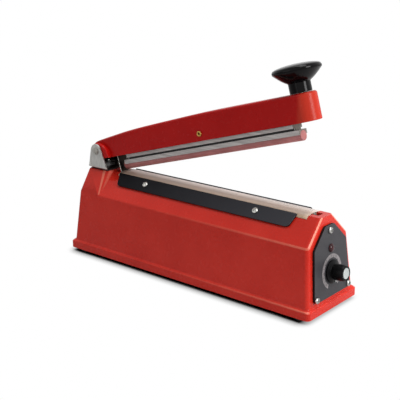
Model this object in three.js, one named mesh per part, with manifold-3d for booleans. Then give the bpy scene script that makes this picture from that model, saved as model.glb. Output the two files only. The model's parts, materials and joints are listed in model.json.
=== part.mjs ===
// Hand impulse sealer: a red cast housing with a heated strip along its ridge, and a hinged arm whose
// silicone rod is pressed down on that strip. The arm stands open, as it rests when it is not in use.
// Millimetres, +Z up, +X towards the control panel, the floor at Z = 0. Lengths along X are measured
// from the rear edge of the flange, and the finished group is centred on its overall length.
import * as THREE from 'three';
import { mergeVertices } from 'three/addons/utils/BufferGeometryUtils.js';
import Module from 'manifold-3d';

const wasm = await Module();
wasm.setup();

// Housing
const flangeLength = 300;
const flangeWidth = 80;
const flangeHeight = 8;
const flangeCorner = 4;
const flangeRound = 1.3;
const flangeStep = 3;
const wallFootRise = 1.4;
const sideDraft = 4.9;
const frontDraft = 4.8;
const rearDraft = 5.3;
const wallCorner = 3.5;
const wallThickness = 3;
const shoulderHeight = 65.4;
const shoulderRise = 21.5;
const ridgeWidth = 18.6;
const ridgeCorner = 3;
const ridgeFrontDraft = 2.1;
const bedRecess = 0.5;
const pedestalRise = 0.7;
const pedestalWidth = 34;
const pedestalLength = 29;
const pedestalFootLength = 31.2;
const pedestalRearCorner = 1.5;
const pedestalFrontCorner = 8;
const pedestalRound = 1;
const bossRadius = 5.4;
const bossHeight = 40;

// Base plate, feet and their screws
const footHeight = 4.2;
const footRadius = 7;
const footChamfer = 0.8;
const footBoreRadius = 4;
const footSeatHeight = 2.6;
const footInset = 14;
const plateThickness = 1.2;
const plateClearance = 0.4;
const flangeLift = 4;
const baseScrewRadius = 1.6;
const baseScrewLength = 18;
const baseHeadRadius = 3.5;
const baseHeadHeight = 1.6;

// Clearances
const seatGap = 0.3;
const holeClearance = 0.2;
const runningClearance = 0.1;
const layGap = 0.05;
const overrun = 5;

// Hinge bracket, gasket and pin
const gasketThickness = 1.6;
const gasketInset = 1.2;
const bracketThickness = 1.6;
const bracketWidth = 36.4;
const bracketStart = 9.4;
const bracketLength = 26.3;
const bracketLean = 4.2;
const cheekTopRadius = 7.4;
const hingeSetback = 20.6;
const hingeRise = 16.2;
const hingePinRadius = 2.5;
const hingeHeadRadius = 4.2;
const hingeHeadHeight = 1.4;
const pinClipRadius = 3.7;
const pinClipThickness = 0.9;
const pinClipMouth = 3.8;
const pinClipDegrees = 45;
const bracketScrewRadius = 1.6;
const bracketHeadRadius = 2.8;
const bracketHeadHeight = 1.8;
const bracketScrewLength = 5.6;
const bracketScrewSetback = 13.6;
const bracketScrewSpacing = 16;

// Arm
const armOpenDegrees = 15.75;
const armClosedDegrees = 2.35;
const armWidth = 24;
const armWall = 2.8;
const armWeb = 3.2;
const armDepth = 9.1;
const armCrown = 16.4;
const armNoseSetback = 45;
const armRearTopDegrees = 106;
const armRearBottomDegrees = 233;
const hingeBossRadius = 9.5;
const hingeBossRearRadius = 8.1;
const hingeBossWidth = 32.8;
const hingeBossBulge = 14.5;
const hingeBossDrop = 7;

// Return spring, between the bracket and a seat inside the arm
const springWire = 1.4;
const springRadius = 4.5;
const springTurns = 6;
const springOffset = 8.2;
const springTopRise = 4.2;
const springSeatRadius = 5.3;
const springSeatRoot = 9.9;

// Actuator blade, hung from the arm's web
const bladeThickness = 1.2;
const bladeWidth = 12;
const bladeReach = 16;
const bladeSlope = 1.4;
const bladeDepth = 28.5;
const bladeLegLength = 16;
const bladeLegHeight = 8;
const bladeScrewRadius = 1.5;
const bladeScrewLength = 2.2;
const bladeHeadRadius = 2.8;
const bladeHeadHeight = 1.6;
const bladeSlotLength = 9.2;
const bladeSlotWidth = 15;

// Press knob
const knobNoseInset = 1.6;
const knobRimRadius = 21.6;
const knobStemRadius = 9.75;
const knobStemHeight = 10.2;
const knobFlareHeight = 9.6;
const knobDomeHeight = 5;
const knobRimHeight = 1;
const knobScrewRadius = 2;
const knobScrewLength = 14;
const knobHeadRadius = 4;
const knobHeadHeight = 2.4;

// Rubber frame, silicone rod and the pin that the frame rocks on
const framePinReach = 140.8;
const framePinDrop = 2.1;
const framePinRadius = 2;
const framePinHeadRadius = 3.1;
const framePinHeadHeight = 1.2;
const frameWidth = 12;
const frameTopDrop = 9.5;
const frameTopHeight = 3.5;
const frameNeckWidth = 8;
const frameNeckHeight = 1.9;
const frameClampHeight = 4.3;
const frameTopStart = 31;
const frameTopInset = 9;
const frameClampStart = 26;
const frameNeckInset = 10;
const frameClampInset = 8;
const frameLugLength = 16;
const frameLugRise = 4.6;
const frameLugWall = 2;
const rodRadius = 4.4;
const rodDrop = 20.2;
const rodStart = 23;
const rodInset = 7.7;

// Heated strip: insulation bar, ribbon, cloth, clamp strips and terminals
const barWidth = 9;
const barThickness = 0.8;
const ribbonWidth = 4;
const ribbonThickness = 0.2;
const ribbonTail = 4.6;
const ribbonBend = 1.2;
const clothStart = 46.9;
const clothFrontSetback = 22.8;
const clothThickness = 0.3;
const clothLap = 3.2;
const stripStart = 48.5;
const stripFrontSetback = 33;
const stripWidth = 14.6;
const stripRise = 15.5;
const stripThickness = 1.6;
const stripRearSlant = 6;
const stripFrontSlant = 2.6;
const stripLowCorner = 4;
const stripHighCorner = 1;
const stripScrewRise = 7.9;
const stripScrewRearInset = 40.7;
const stripScrewFrontInset = 41.8;
const stripScrewRadius = 1.4;
const stripScrewLength = 4.6;
const stripHeadRadius = 3;
const stripHeadHeight = 1.6;
const terminalLength = 5;
const terminalWidth = 6.4;
const terminalHeight = 4.4;
const terminalWell = 6.4;
const terminalPad = 3;
const terminalClearance = 0.8;
const terminalFrontSetback = 21.8;
const terminalRearStart = 50;
const terminalScrewRadius = 0.9;
const terminalHeadRadius = 1.5;
const terminalHeadHeight = 0.9;
const terminalScrewLength = 3.4;

// End panel, lamp, timer knob, potentiometer and timer board
const knobCentreRise = 2.2;
const panelThickness = 2.1;
const panelBottom = 15.5;
const panelShoulderDrop = 3.4;
const panelTopDrop = 7.4;
const panelBottomInset = 7.9;
const panelShoulderInset = 6.6;
const panelTopInset = 2.3;
const panelCorner = 4;
const panelScrewTopDrop = 12.3;
const panelScrewBottom = 18.5;
const panelScrewInset = 3.4;
const panelScrewRadius = 1.5;
const panelHeadRadius = 2.9;
const panelHeadHeight = 1.7;
const panelScrewLength = 7;
const lampDrop = 6.8;
const lampRadius = 3.4;
const lampDome = 2.2;
const lampBodyRadius = 2.8;
const lampBodyLength = 12;
const timerSkirtRadius = 10.5;
const timerSkirtHeight = 1.5;
const timerNeckRise = 3.6;
const timerBodyRadius = 7.4;
const timerTopRadius = 6.9;
const timerHeight = 14.6;
const timerCapRadius = 4.9;
const timerCapThickness = 1.2;
const timerPointerDegrees = 13;
const timerPointerWidth = 1.6;
const timerPointerRise = 0.8;
const potRadius = 8.5;
const potDepth = 12;
const potShaftDepth = 7.2;
const potBushingRadius = 4;
const potBushingLength = 5.2;
const potNutRadius = 5.6;
const potNutHeight = 1.8;
const potShaftRadius = 3;
const potWindowRadius = 10.5;
const boardHeight = 50;
const boardSideGap = 8.1;
const boardThickness = 1.6;
const relayLength = 15;
const relayWidth = 19;
const relayHeight = 16;
const relayRise = 8;

// Transformer, strapped down on the base plate
const coreStart = 74;
const coreLength = 57;
const coreHeight = 47.5;
const coreStack = 26;
const coreLeg = 19;
const coreYoke = 9.5;
const coilOverhang = 9;
const strapThickness = 1;
const strapWidth = 18;
const strapFoot = 10;
const strapScrewRadius = 1.6;
const strapHeadRadius = 2.8;
const strapHeadHeight = 1.8;
const strapScrewLength = 2.8;

// Micro switch, hung on a bracket under the pedestal
const switchLength = 20;
const switchHeight = 10;
const switchWidth = 6.4;
const switchTopDrop = 30.3;
const switchSetback = 33.8;
const plungerRadius = 1.4;
const plungerTravel = 1.5;
const plungerRise = 3.2;
const plungerSocket = 5;
const plungerOffset = 18.8;
const switchBracketWidth = 22;
const switchBracketThickness = 1.2;
const switchBracketDrop = 22;

// Cord grommet, in the rear wall
const grommetHeight = 26;
const grommetBoreRadius = 4;
const grommetNeckRadius = 6.2;
const grommetFlangeRadius = 8.4;
const grommetFlangeThickness = 2;

// Facets
const cornerFacets = 4;
const boreFacets = 24;
const screwFacets = 12;
const knobFacets = 36;
const capFacets = 28;
const domeFacets = 5;
const springFacets = 5;
const springSteps = 8;
const springBendSteps = 3;
const nutSides = 6;

// Shapes that are given as shares or powers
const screwCrownShare = 0.7;
const knobBowlPower = 1.3;

// Heights, lengths and planes that follow from the driving sizes
const halfTurn = Math.PI;
const quarterTurn = halfTurn / 2;
const radians = (degrees) => (degrees * halfTurn) / 180;
const plateTop = footHeight + plateThickness;
const flangeTop = flangeLift + flangeHeight;
const ridgeHeight = shoulderHeight + shoulderRise;
const pedestalHeight = ridgeHeight + pedestalRise;
const bedHeight = ridgeHeight - bedRecess;
const shoulderHalf = flangeWidth / 2 - flangeStep - sideDraft;
const shoulderFront = flangeLength - flangeStep - frontDraft;
const shoulderRear = flangeStep + rearDraft;
const wallRise = shoulderHeight - flangeTop;
const frontTilt = Math.atan2(frontDraft, wallRise);
const frontWallAt = (height) =>
  flangeLength - flangeStep - (height - flangeTop) * Math.tan(frontTilt);
const rearWallAt = (height) => flangeStep + (height - flangeTop) * (rearDraft / wallRise);
const slopeAngle = Math.atan2(ridgeHeight - shoulderHeight, shoulderHalf - ridgeWidth / 2);
const slopeHalfAt = (height) => shoulderHalf - (height - shoulderHeight) / Math.tan(slopeAngle);
const slopeLength = (bedHeight - shoulderHeight) / Math.sin(slopeAngle);
const pedestalFront = shoulderRear + pedestalLength;
const bracketBottom = pedestalHeight + gasketThickness;
const bracketTop = bracketBottom + bracketThickness;
const hingeHeight = bracketTop + hingeRise;
const cheekInner = bracketWidth / 2 - bracketThickness;
const armOpen = radians(armOpenDegrees);
const armClosed = radians(armClosedDegrees);
const armMiddle = (armOpen + armClosed) / 2;
const armNoseReach = flangeLength - armNoseSetback;
const knobReach = armNoseReach - knobNoseInset;
const frameTopEnd = armNoseReach - frameTopInset;
const frameNeckEnd = armNoseReach - frameNeckInset;
const frameClampEnd = armNoseReach - frameClampInset;
const rodEnd = armNoseReach - rodInset;
const panelFace = seatGap + panelThickness;
const lampHeight = shoulderHeight - lampDrop;
const knobCentreHeight = (flangeTop + lampHeight) / 2 + knobCentreRise;
const panelHalves = [
  flangeWidth / 2 - flangeStep - panelBottomInset,
  shoulderHalf - panelShoulderInset,
  ridgeWidth / 2 - panelTopInset,
];
const panelShoulder = shoulderHeight - panelShoulderDrop;
const panelTop = ridgeHeight - panelTopDrop;
const panelScrewTop = ridgeHeight - panelScrewTopDrop;
const boardHalf = shoulderHalf - wallThickness - boardSideGap;
const terminalFrontStart = flangeLength - terminalFrontSetback;
const clothEnd = flangeLength - clothFrontSetback;
const stripEnd = flangeLength - stripFrontSetback;
const barStart = terminalRearStart + terminalLength + terminalClearance + seatGap / 2;
const barEnd = terminalFrontStart - terminalClearance - seatGap / 2;
const timerRimRadius = timerTopRadius - timerCapThickness / 2;
const overallLength =
  frontWallAt(knobCentreHeight) +
  (panelFace + timerHeight) * Math.cos(frontTilt) +
  timerRimRadius * Math.sin(frontTilt);

// Solids: closed three.js geometry goes in, manifold joins and cuts it, geometry comes out
function solid(geometry) {
  const bare = geometry.clone();
  for (const name of Object.keys(bare.attributes)) {
    if (name !== 'position') {
      bare.deleteAttribute(name);
    }
  }
  const merged = mergeVertices(bare);
  const position = merged.attributes.position;
  const triangles = Uint32Array.from(merged.index.array);
  if (signedVolume(position, triangles) < 0) {
    triangles.reverse();
  }
  const vertices = Float32Array.from(position.array);
  return new wasm.Manifold(new wasm.Mesh({ numProp: 3, vertProperties: vertices, triVerts: triangles }));
}

function signedVolume(position, triangles) {
  const [a, b, c] = [new THREE.Vector3(), new THREE.Vector3(), new THREE.Vector3()];
  let volume = 0;
  for (let i = 0; i < triangles.length; i += 3) {
    a.fromBufferAttribute(position, triangles[i]);
    b.fromBufferAttribute(position, triangles[i + 1]);
    c.fromBufferAttribute(position, triangles[i + 2]);
    volume += a.dot(b.cross(c)) / 6;
  }
  return volume;
}

function toGeometry(shape) {
  const mesh = shape.getMesh();
  const geometry = new THREE.BufferGeometry();
  geometry.setAttribute('position', new THREE.BufferAttribute(Float32Array.from(mesh.vertProperties), 3));
  geometry.setIndex(new THREE.BufferAttribute(Uint32Array.from(mesh.triVerts), 1));
  geometry.computeVertexNormals();
  return geometry;
}

function join(...shapes) {
  return shapes.reduce((whole, shape) => whole.add(shape));
}

function cut(shape, ...tools) {
  return tools.reduce((rest, tool) => rest.subtract(tool), shape);
}

// Simple shapes, each given by the lowest and highest value along each axis, or by a profile
function box([x0, x1], [y0, y1], [z0, z1]) {
  const geometry = new THREE.BoxGeometry(x1 - x0, y1 - y0, z1 - z0);
  geometry.translate((x0 + x1) / 2, (y0 + y1) / 2, (z0 + z1) / 2);
  return solid(geometry);
}

const axisTurns = {
  x: new THREE.Matrix4().makeRotationY(quarterTurn),
  y: new THREE.Matrix4().makeRotationX(-quarterTurn),
  z: new THREE.Matrix4(),
};

function revolved(profile, facets, axis = 'z') {
  const points = profile.map(([radius, along]) => new THREE.Vector2(radius, along));
  const geometry = new THREE.LatheGeometry(points, facets);
  geometry.rotateX(quarterTurn);
  geometry.applyMatrix4(axisTurns[axis]);
  return geometry;
}

function rod(radius, [from, to], facets, axis = 'z', [x, y, z] = [0, 0, 0]) {
  const profile = [[0, from], [radius, from], [radius, to], [0, to]];
  const geometry = revolved(profile, facets, axis);
  geometry.translate(x, y, z);
  return solid(geometry);
}

function screw(headRadius, headHeight, shankRadius, shankLength, facets = screwFacets) {
  const crownRadius = headRadius * screwCrownShare;
  const profile = [
    [0, -shankLength],
    [shankRadius, -shankLength],
    [shankRadius, 0],
    [headRadius, 0],
    [headRadius, headHeight / 2],
    [crownRadius, headHeight],
    [0, headHeight],
  ];
  return revolved(profile, facets);
}

// An outline in the X-Z plane, given a width across Y
function slab(outline, [y0, y1]) {
  const shape = new THREE.Shape(outline.map(([x, z]) => new THREE.Vector2(x, z)));
  const geometry = new THREE.ExtrudeGeometry(shape, { depth: y1 - y0, bevelEnabled: false });
  geometry.rotateX(quarterTurn);
  geometry.translate(0, y1, 0);
  return solid(geometry);
}

// An outline in the Y-Z plane, given a length along X
function rail(outline, [x0, x1]) {
  const shape = new THREE.Shape(outline.map(([y, z]) => new THREE.Vector2(y, z)));
  const geometry = new THREE.ExtrudeGeometry(shape, { depth: x1 - x0, bevelEnabled: false });
  const turn = new THREE.Matrix4().makeBasis(
    new THREE.Vector3(0, 1, 0),
    new THREE.Vector3(0, 0, 1),
    new THREE.Vector3(1, 0, 0),
  );
  geometry.applyMatrix4(turn);
  geometry.translate(x0, 0, 0);
  return solid(geometry);
}

// An outline in the X-Y plane, given a height
function plate(outline, [z0, z1]) {
  const shape = new THREE.Shape(outline.map(([x, y]) => new THREE.Vector2(x, y)));
  const geometry = new THREE.ExtrudeGeometry(shape, { depth: z1 - z0, bevelEnabled: false });
  geometry.translate(0, 0, z0);
  return solid(geometry);
}

function arc([x, y], radius, from, to, steps) {
  const points = [];
  for (let i = 0; i <= steps; i += 1) {
    const angle = from + ((to - from) * i) / steps;
    points.push([x + radius * Math.cos(angle), y + radius * Math.sin(angle)]);
  }
  return points;
}

// One radius for all four corners, or a pair of radii: the rear corners', then the front corners'
function roundedRectangle([x0, x1], half, radius) {
  const [rear, front = rear] = [radius].flat();
  return [
    ...arc([x1 - front, -half + front], front, -quarterTurn, 0, cornerFacets),
    ...arc([x1 - front, half - front], front, 0, quarterTurn, cornerFacets),
    ...arc([x0 + rear, half - rear], rear, quarterTurn, halfTurn, cornerFacets),
    ...arc([x0 + rear, -half + rear], rear, halfTurn, halfTurn + quarterTurn, cornerFacets),
  ];
}

// A polygon whose corners are rounded, each corner kept as an arc between its two edges
function roundedPolygon(corners, radii, steps) {
  const points = [];
  corners.forEach((corner, i) => {
    const radius = radii[i];
    const at = new THREE.Vector2(...corner);
    const before = new THREE.Vector2(...corners[(i + corners.length - 1) % corners.length]).sub(at);
    const after = new THREE.Vector2(...corners[(i + 1) % corners.length]).sub(at);
    const half = before.angleTo(after) / 2;
    const reach = radius / Math.tan(half);
    const start = at.clone().add(before.setLength(reach));
    const end = at.clone().add(after.setLength(reach));
    const inward = before.clone().add(after).setLength(radius / Math.sin(half));
    const centre = at.clone().add(inward);
    const from = start.clone().sub(centre).angle();
    let sweep = end.clone().sub(centre).angle() - from;
    if (sweep > halfTurn) {
      sweep -= 2 * halfTurn;
    }
    if (sweep < -halfTurn) {
      sweep += 2 * halfTurn;
    }
    points.push(...arc([centre.x, centre.y], radius, from, from + sweep, steps));
  });
  return points;
}

// Rounded rectangles stacked at rising heights, skinned into one closed shell
function loft(levels) {
  const rings = levels.map(({ span, half, radius }) => roundedRectangle(span, half, radius));
  const count = rings[0].length;
  const vertices = [];
  const faces = [];
  rings.forEach((ring, level) => {
    ring.forEach(([x, y]) => vertices.push(x, y, levels[level].height));
  });
  for (let level = 0; level + 1 < rings.length; level += 1) {
    for (let i = 0; i < count; i += 1) {
      const next = (i + 1) % count;
      const low = level * count;
      const high = low + count;
      faces.push(low + i, low + next, high + next, low + i, high + next, high + i);
    }
  }
  const top = (rings.length - 1) * count;
  for (let i = 1; i + 1 < count; i += 1) {
    faces.push(0, i + 1, i, top, top + i, top + i + 1);
  }
  const geometry = new THREE.BufferGeometry();
  geometry.setAttribute('position', new THREE.Float32BufferAttribute(vertices, 3));
  geometry.setIndex(faces);
  return solid(geometry);
}

// Materials
const finish = (color, roughness, metalness) =>
  new THREE.MeshStandardMaterial({ color, roughness, metalness, flatShading: true });
const redEnamel = finish('#b32f28', 0.35, 0);
const armEnamel = finish('#a3282a', 0.35, 0);
const blackPlastic = finish('#141416', 0.25, 0);
const blackAluminium = finish('#26292c', 0.45, 0.3);
const satinSteel = finish('#a09e98', 0.4, 0.9);
const brightSteel = finish('#d2d2d0', 0.25, 1);
const darkSteel = finish('#33302e', 0.5, 0.8);
const extrudedAluminium = finish('#b9b5b4', 0.35, 0.9);
const brass = finish('#b08a3c', 0.35, 1);
const nichrome = finish('#8d8a86', 0.4, 0.9);
const silicone = finish('#b4787a', 0.6, 0);
const tanCloth = finish('#c6a88e', 0.6, 0);
const fibreBoard = finish('#6f5136', 0.8, 0);
const greyPanel = finish('#4f4f52', 0.5, 0.1);
const rubber = finish('#19191a', 0.9, 0);
const redLens = finish('#5a0d14', 0.15, 0);
const whiteCap = finish('#e4e8e6', 0.4, 0);
const circuitBoard = finish('#2c6b3d', 0.6, 0);
const copperWinding = finish('#a05a2c', 0.4, 0.6);
const tapeYellow = finish('#c9a640', 0.5, 0);
const relayBlue = finish('#2d5c9e', 0.5, 0);

const sealer = new THREE.Group();
sealer.position.x = -overallLength / 2;

function piece(name, shape, material, parent = sealer) {
  const geometry = shape.isBufferGeometry ? toGeometry(solid(shape)) : toGeometry(shape);
  const mesh = new THREE.Mesh(geometry, material);
  mesh.name = name;
  parent.add(mesh);
  return mesh;
}

// The sloping shoulders: a place on one is a length along X, a rise from the shoulder line and a
// height above the surface; side is -1 for the near shoulder and 1 for the far one
function onSlope(geometry, side, x = 0, rise = 0, lift = 0) {
  const up = new THREE.Vector3(0, -side * Math.cos(slopeAngle), Math.sin(slopeAngle));
  const out = new THREE.Vector3(0, side * Math.sin(slopeAngle), Math.cos(slopeAngle));
  const start = new THREE.Vector3(x, side * shoulderHalf, shoulderHeight);
  start.addScaledVector(up, rise).addScaledVector(out, lift);
  const place = new THREE.Matrix4().makeBasis(new THREE.Vector3(1, 0, 0), up, out);
  return geometry.clone().applyMatrix4(place).translate(start.x, start.y, start.z);
}

// The panel's own frame: X outwards from the front wall, Z up along it, at the knob's centre
const panelFrame = new THREE.Group();
panelFrame.position.set(frontWallAt(knobCentreHeight), 0, knobCentreHeight);
panelFrame.rotation.y = -frontTilt;
sealer.add(panelFrame);
const alongPanel = (height) => (height - knobCentreHeight) / Math.cos(frontTilt);

function fromPanel(geometry) {
  panelFrame.updateMatrix();
  return geometry.clone().applyMatrix4(panelFrame.matrix);
}

// The arm's own frame: X along the arm from the hinge, Z square to it
const armFrame = new THREE.Group();
armFrame.position.set(hingeSetback, 0, hingeHeight);
armFrame.rotation.y = -armOpen;
sealer.add(armFrame);

const footPlaces = [];
for (const x of [footInset, flangeLength - footInset]) {
  for (const side of [-1, 1]) {
    footPlaces.push([x, side * (flangeWidth / 2 - footInset + flangeStep)]);
  }
}
const stripScrewPlaces = [stripStart + stripScrewRearInset, stripEnd - stripScrewFrontInset];
const panelScrewHalf = panelHalves[0] - panelScrewInset;
const panelScrewPlaces = [
  [0, alongPanel(panelScrewTop)],
  [-panelScrewHalf, alongPanel(panelScrewBottom)],
  [panelScrewHalf, alongPanel(panelScrewBottom)],
];
const bracketScrewSides = [-1, 1];

// Housing: drafted box, ridge and pedestal, hollowed from below
function housingOuter() {
  const end = flangeLength;
  const half = flangeWidth / 2;
  const wallFoot = flangeTop + wallFootRise;
  const level = (height, rear, front, halfWidth, radius) => ({
    height,
    span: [rear, front],
    half: halfWidth,
    radius,
  });
  const lowStep = flangeStep - flangeRound;
  const body = loft([
    level(flangeLift, 0, end, half, flangeCorner),
    level(flangeTop - flangeRound, 0, end, half, flangeCorner),
    level(flangeTop, flangeRound, end - flangeRound, half - flangeRound, flangeCorner),
    level(flangeTop, lowStep, end - lowStep, half - lowStep, wallCorner),
    level(wallFoot, rearWallAt(wallFoot), frontWallAt(wallFoot), half - flangeStep, wallCorner),
    level(shoulderHeight, shoulderRear, shoulderFront, shoulderHalf, wallCorner),
    level(
      ridgeHeight,
      shoulderRear + pedestalRound,
      shoulderFront - ridgeFrontDraft,
      ridgeWidth / 2,
      ridgeCorner,
    ),
  ]);
  const pedestalHalf = pedestalWidth / 2;
  const pedestalCorners = [pedestalRearCorner, pedestalFrontCorner];
  const pedestalFoot = shoulderRear + pedestalFootLength;
  const pedestal = loft([
    level(shoulderHeight - overrun, shoulderRear, pedestalFoot, shoulderHalf, wallCorner),
    level(shoulderHeight, shoulderRear, pedestalFoot, shoulderHalf, wallCorner),
    level(
      pedestalHeight - pedestalRound,
      shoulderRear,
      pedestalFront,
      pedestalHalf,
      pedestalCorners,
    ),
    level(
      pedestalHeight,
      shoulderRear + pedestalRound,
      pedestalFront - pedestalRound,
      pedestalHalf - pedestalRound,
      pedestalCorners,
    ),
  ]);
  return join(body, pedestal);
}

function housingInner() {
  const wall = wallThickness;
  const half = flangeWidth / 2;
  const lid = wall / Math.cos(slopeAngle);
  const shoulder = shoulderHeight - lid + wall * Math.tan(slopeAngle);
  const top = bedHeight - wall;
  const front = shoulderFront - wall;
  const rear = shoulderRear + wall;
  const innerCorner = wallCorner - wall / 2;
  const rim = { span: [wall, flangeLength - wall], half: half - wall, radius: flangeCorner - wall / 2 };
  const foot = {
    span: [wall + flangeStep, flangeLength - wall - flangeStep],
    half: half - wall - flangeStep,
    radius: innerCorner,
  };
  const body = loft([
    { ...rim, height: flangeLift - overrun },
    { ...rim, height: flangeTop - wall },
    { ...foot, height: flangeTop - wall },
    { ...foot, height: flangeTop },
    { height: shoulder, span: [rear, front], half: shoulderHalf - wall, radius: innerCorner },
    {
      height: top,
      span: [rear + pedestalRound, front - ridgeFrontDraft],
      half: slopeHalfAt(top + lid),
      radius: ridgeCorner / 2,
    },
  ]);
  const pedestalFoot = {
    span: [rear, rear + pedestalFootLength - 2 * wall],
    half: shoulderHalf - wall,
    radius: innerCorner,
  };
  const pedestal = loft([
    { ...pedestalFoot, height: shoulder - overrun },
    { ...pedestalFoot, height: shoulder },
    {
      height: pedestalHeight - wall,
      span: [rear, pedestalFront - wall],
      half: pedestalWidth / 2 - wall,
      radius: [pedestalRearCorner / 2, pedestalFrontCorner / 2],
    },
  ]);
  return join(body, pedestal);
}

function terminalWellAt(start) {
  const half = terminalWidth / 2 + terminalClearance;
  const span = [start - terminalClearance, start + terminalLength + terminalClearance];
  const floor = bedHeight - terminalWell;
  return {
    pad: box(
      [span[0] - terminalPad, span[1] + terminalPad],
      [-half - terminalPad, half + terminalPad],
      [floor - terminalPad, bedHeight - wallThickness / 2],
    ),
    well: box(span, [-half, half], [floor, ridgeHeight + overrun]),
  };
}

function makeHousing() {
  const outer = housingOuter();
  const bosses = footPlaces.map(([x, y]) =>
    rod(bossRadius, [plateTop, bossHeight], boreFacets, 'z', [x, y, 0]),
  );
  const wells = [terminalWellAt(terminalFrontStart), terminalWellAt(terminalRearStart)];
  const inside = join(...bosses, ...wells.map(({ pad }) => pad)).intersect(outer);
  const shell = join(cut(outer, housingInner()), inside);
  const bedCut = box(
    [shoulderRear + pedestalFootLength, terminalFrontStart - terminalClearance],
    [-flangeWidth / 2, flangeWidth / 2],
    [bedHeight, ridgeHeight + overrun],
  );
  const bedStart = box(
    [pedestalFront - pedestalRound, shoulderRear + pedestalFootLength + overrun],
    [-flangeWidth / 2, flangeWidth / 2],
    [bedHeight, ridgeHeight],
  );
  const pedestalKeep = housingPedestalFace();
  const bladeSlot = box(
    [pedestalFront + seatGap, pedestalFront + seatGap + bladeSlotLength],
    [-bladeSlotWidth / 2, bladeSlotWidth / 2],
    [bedHeight - wallThickness - terminalWell, bedHeight + overrun],
  );
  const pilotHoles = [];
  for (const [x, y] of footPlaces) {
    const depth = [0, footHeight + baseScrewLength + seatGap];
    pilotHoles.push(rod(baseScrewRadius + holeClearance, depth, screwFacets, 'z', [x, y, 0]));
  }
  for (const side of [-1, 1]) {
    for (const x of stripScrewPlaces) {
      const hole = rod(stripScrewRadius + holeClearance, [-overrun, overrun], screwFacets);
      pilotHoles.push(solid(onSlope(toGeometry(hole), side, x, stripRise + stripScrewRise)));
    }
  }
  for (const side of bracketScrewSides) {
    const place = [bracketScrewSetback, (side * bracketScrewSpacing) / 2, pedestalHeight];
    pilotHoles.push(rod(bracketScrewRadius + holeClearance, [-overrun, overrun], screwFacets, 'z', place));
  }
  for (const [y, z] of panelScrewPlaces) {
    const hole = rod(panelScrewRadius + holeClearance, [-overrun, overrun], screwFacets, 'x', [0, y, z]);
    pilotHoles.push(solid(fromPanel(toGeometry(hole))));
  }
  const potWindow = rod(potWindowRadius, [-overrun, overrun], boreFacets, 'x');
  const lampPlace = [0, 0, alongPanel(lampHeight)];
  const lampWindow = rod(lampBodyRadius + seatGap, [-overrun, overrun], screwFacets, 'x', lampPlace);
  const grommetHole = rod(
    grommetNeckRadius + holeClearance,
    [0, rearWallAt(grommetHeight) + wallThickness + overrun],
    boreFacets,
    'x',
    [0, 0, grommetHeight],
  );
  return cut(
    shell,
    bedCut,
    cut(bedStart, pedestalKeep),
    bladeSlot,
    ...wells.map(({ well }) => well),
    ...pilotHoles,
    solid(fromPanel(toGeometry(potWindow))),
    solid(fromPanel(toGeometry(lampWindow))),
    grommetHole,
  );
}

// The pedestal's leaning front face, kept whole where the bed is milled up to it
function housingPedestalFace() {
  const lean = pedestalFootLength - pedestalLength;
  const rise = pedestalHeight - pedestalRound - shoulderHeight;
  const frontAt = (height) => pedestalFront + lean * (1 - (height - shoulderHeight) / rise);
  const outline = [
    [shoulderRear, bedHeight - overrun],
    [frontAt(bedHeight - overrun), bedHeight - overrun],
    [frontAt(pedestalHeight - pedestalRound), pedestalHeight - pedestalRound],
    [pedestalFront - pedestalRound, pedestalHeight],
    [shoulderRear, pedestalHeight],
  ];
  return slab(outline, [-flangeWidth, flangeWidth]);
}

piece('housing', makeHousing(), redEnamel);

// Base plate, feet and base screws
function makeBasePlate() {
  const inset = wallThickness + plateClearance;
  const outline = roundedRectangle(
    [inset, flangeLength - inset],
    flangeWidth / 2 - inset,
    flangeCorner - wallThickness / 2,
  );
  const holes = footPlaces.map(([x, y]) =>
    rod(baseScrewRadius + holeClearance, [0, plateTop + overrun], screwFacets, 'z', [x, y, 0]),
  );
  const strapHoles = strapScrewPlaces().map((x) =>
    rod(strapScrewRadius + holeClearance, [0, plateTop + overrun], screwFacets, 'z', [x, 0, 0]),
  );
  return cut(plate(outline, [footHeight, plateTop]), ...holes, ...strapHoles);
}

function strapScrewPlaces() {
  return [coreStart - strapFoot / 2, coreStart + coreLength + strapFoot / 2];
}

piece('base_plate', makeBasePlate(), satinSteel);

footPlaces.forEach(([x, y], i) => {
  const hole = baseScrewRadius + holeClearance;
  const profile = [
    [hole, footHeight],
    [hole, footSeatHeight],
    [footBoreRadius, footSeatHeight],
    [footBoreRadius, 0],
    [footRadius - footChamfer, 0],
    [footRadius, footChamfer],
    [footRadius, footHeight],
    [hole, footHeight],
  ];
  piece(`foot_${i + 1}`, revolved(profile, boreFacets).translate(x, y, 0), rubber);
  const baseScrew = screw(baseHeadRadius, baseHeadHeight, baseScrewRadius, baseScrewLength);
  baseScrew.rotateX(halfTurn).translate(x, y, footSeatHeight);
  piece(`base_screw_${i + 1}`, baseScrew, brightSteel);
});

// Hinge bracket: a folded plate with two cheeks, on a gasket on the pedestal
function makeGasket() {
  const span = [bracketStart + gasketInset, bracketStart + bracketLength - gasketInset];
  const half = cheekInner - gasketInset;
  const holes = bracketScrewSides.map((side) =>
    rod(bracketScrewRadius + holeClearance, [0, bracketTop + overrun], screwFacets, 'z', [
      bracketScrewSetback,
      (side * bracketScrewSpacing) / 2,
      0,
    ]),
  );
  return cut(box(span, [-half, half], [pedestalHeight, bracketBottom]), ...holes);
}

function cheekOutline() {
  const foot = bracketBottom;
  const rearFoot = bracketStart;
  const frontFoot = bracketStart + bracketLength;
  const pivot = [hingeSetback, hingeHeight];
  const lean = Math.atan2(bracketLean, hingeHeight - foot);
  const frontLean = Math.atan2(frontFoot - hingeSetback - cheekTopRadius, hingeHeight - foot);
  return [
    [rearFoot, foot],
    [frontFoot, foot],
    ...arc(pivot, cheekTopRadius, frontLean, halfTurn - lean, 2 * cornerFacets),
  ];
}

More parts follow.
